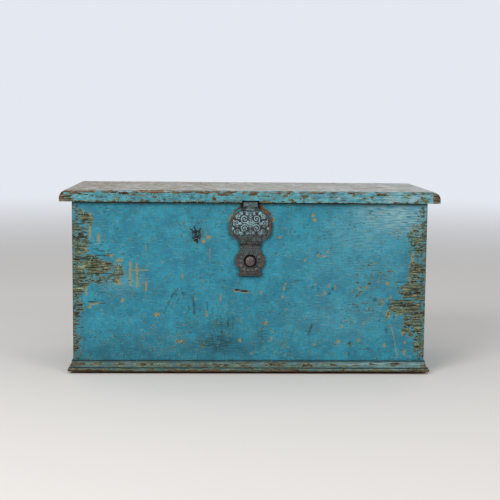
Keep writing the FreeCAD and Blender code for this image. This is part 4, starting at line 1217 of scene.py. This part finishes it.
def wear_lid(piece):
    """Store the lid's marks as layers, knock its upper arrises and sink its streaks."""
    points = points_of(piece)
    lid = read_lid(points)
    pale = clamp(drift(points, (13 * MM, 6 * MM, 3.4 * MM), 15.0) * 2.2 - 0.3)
    specks = clamp(drift(points, (8 * MM, 6 * MM, 2.8 * MM), 16.0) * 2.6 - 0.9)
    splits = drift(points, (140 * MM, 2.6 * MM, 9 * MM), 4.0) * 4 - 2.4
    # Paler to the right on the lid's face: fading with a painted sheen.
    bleached = pale * (0.6 + 0.5 * lid.to_right) + 0.3 * np.maximum(lid.to_right, 0)
    top_warm = lid.on_top * (0.36 - 0.4 * lid.to_right + 0.4 * lid.streaks)
    store(
        piece,
        worn=lid_wear(lid),
        cracked=lid.on_top * np.clip(splits, 0, 0.5),
        chipped=lid.on_front * ellipses(lid.x, lid.z, LID_CHIPS[:PRIMER_CHIPS]) * 0.6,
        stained=lid.on_front * most(ellipses(lid.x, lid.z, LID_DIRT), specks),
        faded=~lid.on_top * most(ellipses(lid.x, lid.z, LID_PALE), bleached),
        warm=most(lid.upper * 0.7, lid.line * 0.8, top_warm, 0.2),
    )
    upper_half = points[:, Z] > (lid_low.z + lid_high.z) / 2
    knocked_off = chip_arrises(points, lid_low, lid_high, EDGE_REACH, CHIP_DEPTH, 7.0)
    carved = np.where(upper_half[:, None], knocked_off, points)
    carved[:, Z] -= lid.on_top * np.maximum(lid.streaks + 0.3 * lid.rough, 0) * STREAK_DEPTH
    set_points(piece, carved)


# %% Lid boards
LID_CELL = 4.0 * MM
LID_EDGE_CELL = 2.4 * MM
RIM_BAND = lid_low.y + 2.2 * MM


def make_lid_board(name, node):
    mesh = merged_copy(node)
    ease_edges(mesh, FINE_EASE, least=60)
    low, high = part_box(node)
    sides = [f for f in mesh.faces if abs(f.normal.z) < 0.99]
    cut_evenly(mesh, (low, high), Z, LID_EDGE_CELL, sides)
    rim = [RIM_BAND] if node == "lid_board_front" else []
    cut_at(mesh, Y, rim + steps(low.y, high.y, LID_CELL), away_from(mesh, Z, low.z))
    cut_evenly(mesh, (low, high), X, LID_CELL, away_from(mesh, Z, low.z))
    for face in mesh.faces:
        under = face.normal.z < -0.9
        at_rim = face.normal.z < 0.6 or face.calc_center_median().y < RIM_BAND
        face.material_index = 1 if under else 2 if at_rim else 0
    materials = [lid_long, bare_long, lid_face_long]
    wear_lid(add_piece(name, mesh, "lid", "painted_wood", materials, node))


make_lid_board("lid_plank_front", "lid_board_front")
make_lid_board("lid_plank_back", "lid_board_back")

# %% [markdown]
# ## The base moulding
#
# A lip, a quirk, a cove and a bead. The paint is nearly gone from the lip, the quirk and the bead's
# top are darker, the cove has weathered to a grey green, and a painted highlight runs along its top.
# The construction's own profile stays, and height alone tells these parts apart, so the wear is
# worked out from height and broken up by noise.

# %% Moulding finishes
SKIRT_TONES = (srgb(60, 96, 96), srgb(84, 118, 114), srgb(72, 84, 74), srgb(142, 168, 164))
SKIRT_WOODS = (srgb(100, 98, 78), srgb(44, 38, 30), srgb(140, 136, 112), srgb(110, 70, 40))
SKIRT_FLAKE = 0.09
skirt_long, skirt_short = [
    make_painted_wood("moulding paint along " + way, grain, UP_BRUSH, SKIRT_TONES, SKIRT_WOODS, SKIRT_FLAKE)
    for way, grain in (("X", LONG_GRAIN), ("Y", SHORT_GRAIN))
]
print("finishes", skirt_long.name, "and", skirt_short.name)

# %% Wear the moulding
LIP_TOP = 15 * MM
QUIRK_TOP = 17.5 * MM
BEAD_FOOT = 29.5 * MM
DENT = 0.5 * MM


def wear_skirt(piece):
    points = points_of(piece)
    x, z = points[:, X], points[:, Z]
    on_end = np.abs(x) > wall_high.x
    rough = drift(points, (25 * MM, 25 * MM, 6 * MM), 6.0)
    lip = z < LIP_TOP
    quirk = (z >= LIP_TOP - 0.5 * MM) & (z < QUIRK_TOP)
    cove = (z >= QUIRK_TOP) & (z < BEAD_FOOT)
    lower = fall(z, 11.5 * MM, 3 * MM)
    to_right = rise(x, 80 * MM, 300 * MM) * ~on_end
    at_ends = rise(np.abs(x), 430 * MM, 30 * MM)
    store(
        piece,
        worn=0.2 * (at_ends + rough) + lip * (0.40 + 0.34 * lower) + cove * (0.38 - 0.14 * to_right),
        # Darker in the quirk and along the top of the bead.
        cracked=most(quirk * 0.16, 0.5 * rise(z, 30 * MM, 2 * MM)),
        chipped=lip * band(z, 9 * MM, 5 * MM) * clamp(rough) * 0.4,
        # Dark in the quirk; elsewhere dirt, less of it to the right.
        stained=most(quirk, 0.45 + 0.3 * rough - 0.3 * to_right),
        # A painted highlight along the top of the cove, and paler to the right.
        faded=0.9 * band(z, 26 * MM, 3 * MM) * clamp(0.7 + rough) + 0.4 * to_right,
        warm=np.where(lip, 0.8 * lower, 0.05 + 0.2 * rough),
    )
    carved = points.copy()
    dent = np.maximum(rough, 0) * DENT * (lip | cove)
    carved[:, Y] += dent * ~on_end
    carved[:, X] -= dent * on_end * np.sign(x)
    set_points(piece, carved)


# %% Cut the moulding
SKIRT_CELL = 5.0 * MM


def make_skirt(name, node, axis, material):
    mesh = merged_copy(node)
    ease_edges(mesh, FINE_EASE, least=50)
    cut_evenly(mesh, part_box(node), axis, SKIRT_CELL)
    wear_skirt(add_piece(name, mesh, "carcass", "painted_wood", [material], node))


make_skirt("skirting_front", "base_moulding_front", X, skirt_long)
make_skirt("skirting_left", "base_moulding_left", Y, skirt_short)
make_skirt("skirting_right", "base_moulding_right", Y, skirt_short)

# %% [markdown]
# ## Bottom, runners and battens
#
# These were planed and nailed and never seen again. Their edges are only a little soft, and the wood
# is bare. They differ in little but the way they run, so one function makes all eight.

# %% Bare timbers
TIMBER_EASE = 1.2 * MM
TIMBER_CELL = 12 * MM
TIMBER_CHIP = 1.0 * MM


def make_timber(name, node, body, axis, material):
    mesh = merged_copy(node)
    ease_edges(mesh, TIMBER_EASE, least=60)
    low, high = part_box(node)
    cut_evenly(mesh, (low, high), axis, TIMBER_CELL)
    piece = add_piece(name, mesh, body, "bare_wood", [material], node)
    set_points(piece, chip_arrises(points_of(piece), low, high, 5 * MM, TIMBER_CHIP, low.x))


for part in ("front", "middle", "back"):
    make_timber("bottom_plank_" + part, "bottom_board_" + part, "carcass", X, bare_long)
for part in ("left", "middle", "right"):
    make_timber("foot_runner_" + part, "runner_" + part, "carcass", Y, bare_short)
for part in ("left", "right"):
    make_timber("batten_" + part, "lid_batten_" + part, "lid", Y, bare_short)

# %% [markdown]
# ## The hasp's round plate
#
# The plate was cut as a disc, given a raised rim and chased with scrolls. A square net pressed into a
# circle gives even cells for the chasing. The scrolls are spirals, mirrored left and right about a
# stem; the height of each point comes from how near it lies to a stroke.

# %% Sizes of the plate, in metres
tongue_axis = joints["tongue_hinge"]
PLATE_HALF = 2 * MM
RIM_WIDTH = 5.2 * MM
RIM_HEIGHT = 1.6 * MM
RELIEF = 1.1 * MM
TOP_DROP = 5.3 * MM
FOOT_DROP = 81.8 * MM
TAPER_FROM = 12 * MM
TAPER_OVER = 25 * MM
TAPER_SHARE = 0.28
BARREL_RADIUS = 4.7 * MM
BARREL_EASE = 0.9 * MM
BLOCK_EASE = 0.4 * MM
UPPER_KNUCKLES = (11.3 * MM, 22.2 * MM)
LOWER_KNUCKLES = (10.3 * MM, 26 * MM)
NECK_TOP_DROP = 78.6 * MM
print("from barrel to barrel", round((hasp_axis.z - tongue_axis.z) / MM, 1), "mm")

# %% Strokes of the chasing, in millimetres from the disc's middle
SCROLLS = [
    (15.0, 21.5, 10.5, 1, 200), (15.5, -3.0, 10.0, -1, 160), (35.5, 9.5, 8.6, 1, 250),
    (33.5, -11.0, 7.6, -1, 20), (32.0, 28.5, 6.4, 1, 240), (9.5, 36.0, 3.6, -1, 300),
    (47.5, -3.5, 3.6, 1, 120), (24.5, 37.5, 4.4, 1, 200), (24.5, -16.5, 4.6, 1, 90),
    (46.0, 17.5, 4.0, -1, 60), (5.6, 9.2, 3.6, 1, 0), (26.0, 9.0, 3.2, -1, 200),
    (9.0, -16.0, 3.6, 1, 60),
]
SCROLL_TURNS = 1.6
LEAF_EVERY_MM = 4.2
LEAF_LENGTH_MM = 2.6
SPINE_HALF_MM = 1.4
LEAF_HALF_MM = 1.05
DOT_EVERY_MM = 0.5


def scroll_strokes():
    """Each scroll as dots along a spiral, with short leaves on its outer side, and a leafy stem."""
    spine, leaves = [], []
    for middle_x, middle_z, radius, way, start in SCROLLS:
        count = int(SCROLL_TURNS * math.tau * radius / DOT_EVERY_MM)
        run = 0.0
        for i in range(count + 1):
            share = i / count
            reach = radius * (1 - 0.86 * share)
            angle = math.radians(start) + way * share * SCROLL_TURNS * math.tau
            spot = Vector((middle_x + reach * math.cos(angle), middle_z + reach * math.sin(angle)))
            if spine and (spot - spine[-1]).length < radius:
                run += (spot - spine[-1]).length
            spine.append(spot)
            if run > LEAF_EVERY_MM and share < 0.6:
                run = 0.0
                out = Vector((math.cos(angle - way * 0.7), math.sin(angle - way * 0.7)))
                leaves += [spot + out * step * LEAF_LENGTH_MM / 5 for step in range(1, 6)]
    stem = [Vector((0.0, -20 + DOT_EVERY_MM * i)) for i in range(117)]
    for height in range(-18, 38, 6):
        leaves += [Vector((0.55 * step, height + 0.5 * step)) for step in range(1, 9)]
    return spine + stem, leaves


# %% How high the chasing stands


def stroke_height(x, z):
    """0 on the ground and 1 on the crest of a stroke; both sides share one set of strokes."""
    height = np.zeros(len(x))
    spine, leaves = scroll_strokes()
    for spots, half in ((spine, SPINE_HALF_MM), (leaves, LEAF_HALF_MM)):
        for spot in spots:
            away = np.hypot(np.abs(x) - spot.x, z - spot.y) / half
            height = np.maximum(height, np.sqrt(clamp(1 - away * away)))
    return height


print("scrolls on each side:", len(SCROLLS))

# %% The plate's net
DISC_CELLS = 150


def taper(z):
    """How wide the disc is at a height from its middle, as a share of a full circle's width."""
    below = np.maximum(0.0, -z - TAPER_FROM) / TAPER_OVER
    return 1 - TAPER_SHARE * below * below


def fold_to_disc(mesh):
    """Press a square net into a circle, upright and facing the front."""
    for corner in mesh.verts:
        across, along = corner.co.x, corner.co.y
        x = across * math.sqrt(1 - along * along / 2) * DISC_RADIUS
        z = along * math.sqrt(1 - across * across / 2) * DISC_RADIUS
        corner.co = disc_middle + Vector((x * taper(z), -PLATE_HALF, z))


def trim_disc(mesh):
    """Cut the disc straight across under the upper barrel and above the neck."""
    for height, way in ((hasp_axis.z - TOP_DROP, 1), (hasp_axis.z - FOOT_DROP, -1)):
        geom = mesh.verts[:] + mesh.edges[:] + mesh.faces[:]
        at = Vector((0, 0, height))
        up = Vector((0, 0, way))
        bmesh.ops.bisect_plane(mesh, geom=geom, dist=WELD, plane_co=at, plane_no=up, clear_outer=True)


def back_the_disc(mesh):
    """Give the net its thickness: the outline goes back and is closed behind."""
    rim = [edge for edge in mesh.edges if edge.is_boundary]
    grown = bmesh.ops.extrude_edge_only(mesh, edges=rim)["geom"]
    for item in grown:
        if isinstance(item, bmesh.types.BMVert):
            item.co.y = disc_middle.y + PLATE_HALF
    back = [item for item in grown if isinstance(item, bmesh.types.BMEdge)]
    bmesh.ops.holes_fill(mesh, edges=back, sides=0)
    bmesh.ops.recalc_face_normals(mesh, faces=mesh.faces)


# %% The plate's shoulders and barrels


def add_block(mesh, low, high, ease):
    """A block with eased edges, as one more shell of the piece."""
    made = bmesh.ops.create_cube(mesh, size=1.0)["verts"]
    for corner in made:
        corner.co = Vector([(low[i] + high[i]) / 2 + corner.co[i] * (high[i] - low[i]) for i in range(3)])
    bevel(mesh, list({edge for corner in made for edge in corner.link_edges}), ease)


def add_barrel(mesh, place, from_x, to_x):
    """A rolled knuckle along X with softened ends."""
    turn = Matrix.Rotation(math.pi / 2, 4, "Y")
    middle = Matrix.Translation(((from_x + to_x) / 2, place.y, place.z))
    made = bmesh.ops.create_cone(
        mesh,
        cap_ends=True,
        segments=40,
        radius1=BARREL_RADIUS,
        radius2=BARREL_RADIUS,
        depth=to_x - from_x,
        matrix=middle @ turn,
    )["verts"]
    edges = {edge for corner in made for edge in corner.link_edges}
    rings = [edge for edge in edges if abs(edge.verts[0].co.x - edge.verts[1].co.x) < WELD]
    bevel(mesh, rings, BARREL_EASE, segments=3)


# %% Chase the plate
RADIUS_MM = DISC_RADIUS / MM
RIM_MM = RIM_WIDTH / MM
FIELD_MM = 48.6
FIELD_FOOT_MM = -21.5
DISC_FROM_MM, DISC_TO_MM = -37, 40


def chase_disc(piece):
    """Raise the rim and the scrolls, and store the hollows, the painted shade on the barrels, and the pale
    paint with its painted highlight.
    """
    points = points_of(piece)
    x = (points[:, X] - disc_middle.x) / MM
    z = (points[:, Z] - disc_middle.z) / MM
    radius = np.hypot(x / taper(z * MM), z)
    front = points[:, Y] < disc_middle.y - PLATE_HALF + WELD
    joint = (z > DISC_TO_MM) | (z < DISC_FROM_MM)
    on_disc = front & (z > DISC_FROM_MM) & (z < DISC_TO_MM) & (radius < RADIUS_MM + 0.1)
    in_rim = (radius - RADIUS_MM + RIM_MM) / RIM_MM
    rim = np.sqrt(clamp(1 - (2 * in_rim - 1) ** 2)) * (in_rim > 0)
    field = fall(radius, FIELD_MM, 1.0) * rise(z, FIELD_FOOT_MM, 1.0)
    strokes_up = stroke_height(x, z) * field
    ground = drift(points, 1.6 * MM, 9.0)
    foot = on_disc * (1 - field) * (1 - rim) * fall(z, -20, 1.0)
    grooves = clamp(1.4 * np.cos(radius * math.tau / 4.6) - 0.5) * foot
    notches = clamp(1.5 * np.cos(np.arctan2(x, -z) * 34) - 0.7) * foot * (1 - grooves)
    lift = rim * RIM_HEIGHT + strokes_up * RELIEF + field * (ground * 0.12 - 0.25) * MM
    sunk = on_disc * field * clamp(0.85 - strokes_up * 1.7)
    # Pale paint on the crests, more of it towards the upper left as a painted highlight.
    kept = np.clip(0.7 - 0.22 * x / 55 + 0.4 * z / 25 + 0.7 * drift(points, 8 * MM, 3.0), 0.1, 1)
    points[:, Y] -= on_disc * (lift - (grooves * 0.6 + notches * 0.3) * MM)
    store(
        piece,
        # Hollows of the chasing, and painted shade on the barrels and their blocks.
        hollow=sunk + grooves * 0.8 + notches * 0.5 + joint * 0.55,
        residue=on_disc * field * clamp(strokes_up * 1.5 - 0.2) * kept,
        rusted=on_disc * (0.14 * rim + 0.05 * clamp(x / 40)),
    )
    set_points(piece, points)


# %% Plate


def make_plate():
    mesh = bmesh.new()
    bmesh.ops.create_grid(mesh, x_segments=DISC_CELLS, y_segments=DISC_CELLS, size=1.0)
    fold_to_disc(mesh)
    trim_disc(mesh)
    back_the_disc(mesh)
    front, back = disc_middle.y - PLATE_HALF, disc_middle.y + PLATE_HALF
    shoulders = (
        (hasp_axis, UPPER_KNUCKLES, hasp_axis.z - TOP_DROP - MM, hasp_axis.z),
        (tongue_axis, LOWER_KNUCKLES, tongue_axis.z, hasp_axis.z - NECK_TOP_DROP),
    )
    for side in (-1, 1):
        for axis, knuckles, foot, top in shoulders:
            from_x, to_x = sorted(end * side for end in knuckles)
            add_block(mesh, (from_x, front, foot), (to_x, back, top), BLOCK_EASE)
            add_barrel(mesh, axis, from_x, to_x)
    chase_disc(add_piece("hasp_disc", mesh, "hasp", "hasp_iron", [hasp_iron], "hasp_plate"))


make_plate()

# %% [markdown]
# ## The tongue, the strap and the post
#
# The tongue hangs from the plate and drops over the post. It was forged, so its outline is eased and
# its face is not quite flat. A ring stands round the hole, with scales above it and two cut lines
# below. The solid already has the outline and the hole, so only its face is cut into small cells
# and raised. The strap, the post and the hinges' leaves need only softer edges, and the strap still
# holds some old paint.

# %% Shape the tongue, in millimetres from its hole's middle
HOLE_DROP = 46.3 * MM
RING_MM = 18.6
SCALE_WIDE_MM, SCALE_TALL_MM = 5.2, 4.2
WAIST_MM = -28.5
WAIST_SHARE = 0.17


def shape_tongue(piece):
    points = points_of(piece)
    x = (points[:, X] - tongue_axis.x) / MM
    z = (points[:, Z] - (tongue_axis.z - HOLE_DROP)) / MM
    front = points[:, Y] < tongue_axis.y - PLATE_HALF + 0.3 * MM
    radius = np.hypot(x, z)
    ring = np.sqrt(clamp(1 - ((radius - RING_MM) / 2.2) ** 2))
    on_neck = rise(z, 20.5, 1.5) * fall(z, 37.5, 1.5)
    row = z / SCALE_TALL_MM
    column = x / SCALE_WIDE_MM + 0.5 * (np.floor(row) % 2)
    scale_up = clamp(1.1 - np.hypot((column % 1 - 0.5) * 1.6, row % 1 - 0.1))
    flutes = clamp(np.cos(x / 2.4)) * fall(z, -24.5, 1.5) * rise(z, -36, 1.5)
    lines = most(band(z, -27.5, 1.4), band(z, -35, 1.2))
    collar = fall(radius, 29, 2) * rise(radius, 20.5, 1) * (z < 19) * (z > -26)
    rays = clamp(1.5 * np.cos(np.arctan2(x, z) * 14) - 0.4) * collar
    forged = drift(points, 7 * MM, 11.0)
    waist = np.exp(-(((z - WAIST_MM) / 3.4) ** 2))
    points[:, X] -= (points[:, X] - tongue_axis.x) * waist * WAIST_SHARE
    lift = ring * 0.9 + on_neck * scale_up * 0.8 + flutes * 0.5 + forged * 0.18 - rays * 0.6 - lines * 0.5
    points[:, Y] -= front * lift * MM
    gap = clamp(1.2 - np.abs(radius - 22.2) / 2.2) * (np.abs(z) < 18)
    scales = on_neck * clamp(0.9 - scale_up * 1.3)
    store(
        piece,
        hollow=front * most(scales, gap * 0.5, rays * 0.8, lines * 0.9),
        residue=front * (on_neck * clamp(scale_up - 0.4) * 0.9 + collar * (1 - rays) * 0.25),
        rusted=front * (0.03 * (1 - on_neck) + 0.05 * rise(np.abs(x), 22, 6)),
    )
    set_points(piece, points)


# %% Tongue
TONGUE_CELL = 1.1 * MM
TONGUE_EASE = 0.5 * MM


def make_tongue():
    mesh = merged_copy("hasp_tongue")
    ease_edges(mesh, TONGUE_EASE, least=50)
    for axis in (Z, X):
        face = [f for f in mesh.faces if f.normal.y < -0.9]
        cut_evenly(mesh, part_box("hasp_tongue"), axis, TONGUE_CELL, face)
    shape_tongue(add_piece("hasp_tail", mesh, "tongue", "hasp_iron", [tail_iron], "hasp_tongue"))


make_tongue()

# %% Eased ironwork
IRON_CELL = 2.5 * MM
SOFT_EASE = 0.5 * MM
HARD_EASE = 0.4 * MM


def make_ironwork(name, node, body, material, ease, residue=0.0):
    """A forged part: the construction's own shape with softened edges, and old paint left outside."""
    mesh = merged_copy(node)
    ease_edges(mesh, ease, least=50)
    if residue:
        for axis in (X, Y, Z):
            cut_evenly(mesh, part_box(node), axis, IRON_CELL)
    slot = "hinge_iron" if material == hinge_iron else "hasp_iron"
    piece = add_piece(name, mesh, body, slot, [material], node)
    if residue:
        points = points_of(piece)
        outside = points[:, Y] < lid_low.y + 10 * MM
        store(piece, residue=outside * residue * clamp(0.5 + drift(points, 5 * MM, 14.0)))


make_ironwork("strap_iron", "hasp_strap", "lid", hasp_iron, SOFT_EASE, residue=0.35)
make_ironwork("post_head", "staple_post", "carcass", post_iron, HARD_EASE)
make_ironwork("post_rove", "staple_rove", "carcass", hasp_iron, SOFT_EASE)
for part in ("left", "right"):
    make_ironwork("wall_leaf_" + part, "hinge_leaf_wall_" + part, "carcass", hinge_iron, HARD_EASE)
    make_ironwork("lid_leaf_" + part, "hinge_leaf_lid_" + part, "lid", hinge_iron, HARD_EASE)

# %% [markdown]
# ## Nails and pins
#
# The construction's nails and pins already have the right shape, domed or flat as forged, so they stay
# and only get their finish. Paint covers the nails of the walls' corners and of the moulding, and
# the others are plain rust.

# %% Nail finishes
PAINTED_NAILS = ("corner_nails", "moulding_brads")
BARE_NAILS = ("bottom_nails", "runner_nails", "batten_nails", "strap_nails")
HINGE_NAILS = ("hinge_nails_wall", "hinge_nails_lid")
PINS = ("hinge_pin_left", "hinge_pin_right", "hasp_pin_upper", "hasp_pin_lower")
PLAIN_ONES = BARE_NAILS + HINGE_NAILS + PINS
for material, nodes in ((painted_nails, PAINTED_NAILS), (nail_iron, PLAIN_ONES)):
    for node in nodes:
        for place in frame["nodes"][node].material_slots:
            place.material = material
print("nails and pins finished:", len(PAINTED_NAILS + PLAIN_ONES))

# %% [markdown]
# ## Floor, light and camera
#
# A plain pale floor, one large lamp at the upper left, a weaker one at the right and a soft sky.
# Small lamps would give hard shadows; large ones give shadows as soft as a window's. The camera
# stands three metres in front of the chest, a little left of the middle and at the height of a
# seated person's eyes, as the photograph's does.

# %% Floor
BACKDROP = (0.78, 0.81, 0.87, 1.0)
BACKDROP_LEVEL = 1.0
FLOOR_TONE = srgb(214, 209, 202)
FLOOR_RADIUS = 30.0
FLOOR_NEAR = 1.6
FLOOR_FAR = 7.0


def make_floor():
    """A wide pale floor that melts into the backdrop far away, for the camera's rays alone."""
    mesh = bmesh.new()
    bmesh.ops.create_circle(mesh, cap_ends=True, segments=64, radius=FLOOR_RADIUS)
    data = bpy.data.meshes.new("floor")
    mesh.to_mesh(data)
    mesh.free()
    material, tree, place = new_material("pale floor")
    shader = put(tree, "ShaderNodeBsdfPrincipled", {"Base Color": FLOOR_TONE, "Roughness": 0.9})
    away = put(tree, "ShaderNodeVectorMath", {0: place}, operation="LENGTH").outputs["Value"]
    seen = put(tree, "ShaderNodeLightPath").outputs["Is Camera Ray"]
    melt = times(tree, mask(tree, away, FLOOR_NEAR, FLOOR_FAR), seen)
    glow = put(tree, "ShaderNodeEmission", {"Color": BACKDROP, "Strength": BACKDROP_LEVEL})
    blend = put(tree, "ShaderNodeMixShader", {0: melt, 1: shader.outputs[0], 2: glow.outputs[0]})
    put(tree, "ShaderNodeOutputMaterial", {"Surface": blend.outputs[0]})
    data.materials.append(material)
    floor = bpy.data.objects.new("floor", data)
    bpy.context.scene.collection.objects.link(floor)


make_floor()
print("floor's radius", FLOOR_RADIUS, "m")

# %% Lamps


def add_lamp(name, place, target, size, power):
    lamp = bpy.data.lights.new(name, "AREA")
    lamp.shape = "DISK"
    lamp.size = size
    lamp.energy = power
    holder = bpy.data.objects.new(name, lamp)
    holder.location = place
    holder.rotation_euler = (Vector(target) - Vector(place)).to_track_quat("-Z", "Y").to_euler()
    bpy.context.scene.collection.objects.link(holder)
    print("lamp", name, power, "W")


middle = (wall_low + wall_high) / 2
add_lamp("window", (-1.7, -2.6, 2.3), middle, size=1.8, power=75)
add_lamp("fill", (2.0, -2.4, 2.0), middle, size=1.4, power=26)

# %% Sky


def make_sky(strength, horizon, glossy):
    """A soft sky that is dimmer near the horizon, and an even backdrop for the camera's own rays."""
    world = bpy.data.worlds.new("studio")
    world.use_nodes = True
    tree = world.node_tree
    tree.nodes.clear()
    rays = put(tree, "ShaderNodeLightPath").outputs
    way = put(tree, "ShaderNodeTexCoord").outputs["Generated"]
    height = put(tree, "ShaderNodeSeparateXYZ", {0: way}).outputs["Z"]
    climb = sums(tree, "ADD", times(tree, mask(tree, height, 0.05, 0.75), 1 - horizon), horizon)
    level = times(tree, climb, strength)
    shiny = sums(tree, "SUBTRACT", glossy, level)
    level = sums(tree, "ADD", level, times(tree, rays["Is Glossy Ray"], shiny))
    seen = sums(tree, "SUBTRACT", BACKDROP_LEVEL, level)
    level = sums(tree, "ADD", level, times(tree, rays["Is Camera Ray"], seen))
    sky = put(tree, "ShaderNodeBackground", {"Color": BACKDROP, "Strength": level})
    put(tree, "ShaderNodeOutputWorld", {"Surface": sky.outputs[0]})
    bpy.context.scene.world = world


make_sky(strength=0.95, horizon=0.04, glossy=0.6)

# %% [markdown]
# The camera was worked out from the photograph: the lid's corners, the front's corners and the
# moulding's edges, measured in it, fix where it stood, how it was tilted and its focal length.

# %% Camera
IMAGE_WIDTH_PX = 500
FOCAL_PX = 1109.3
SENSOR_MM = 36.0
CAMERA_PLACE = Vector((-0.0892, -3.0342, 0.6619))
CAMERA_PITCH, CAMERA_YAW, CAMERA_ROLL = 0.1175, 0.0311, 0.0090


def make_camera():
    data = bpy.data.cameras.new("camera")
    data.sensor_width = SENSOR_MM
    data.lens = FOCAL_PX / IMAGE_WIDTH_PX * SENSOR_MM
    camera = bpy.data.objects.new("camera", data)
    yaw, pitch, roll = CAMERA_YAW, CAMERA_PITCH, CAMERA_ROLL
    ahead = Vector((math.sin(yaw) * math.cos(pitch), math.cos(yaw) * math.cos(pitch), -math.sin(pitch)))
    level = Vector((math.cos(yaw), -math.sin(yaw), 0))
    right = level * math.cos(roll) + level.cross(ahead) * math.sin(roll)
    up = right.cross(ahead)
    turn = Matrix((right, up, -ahead)).transposed()
    camera.matrix_world = Matrix.LocRotScale(CAMERA_PLACE, turn.to_quaternion(), None)
    bpy.context.scene.collection.objects.link(camera)
    bpy.context.scene.camera = camera
    print("lens", round(data.lens, 1), "mm")


make_camera()
bpy.context.scene.view_settings.view_transform = "Standard"
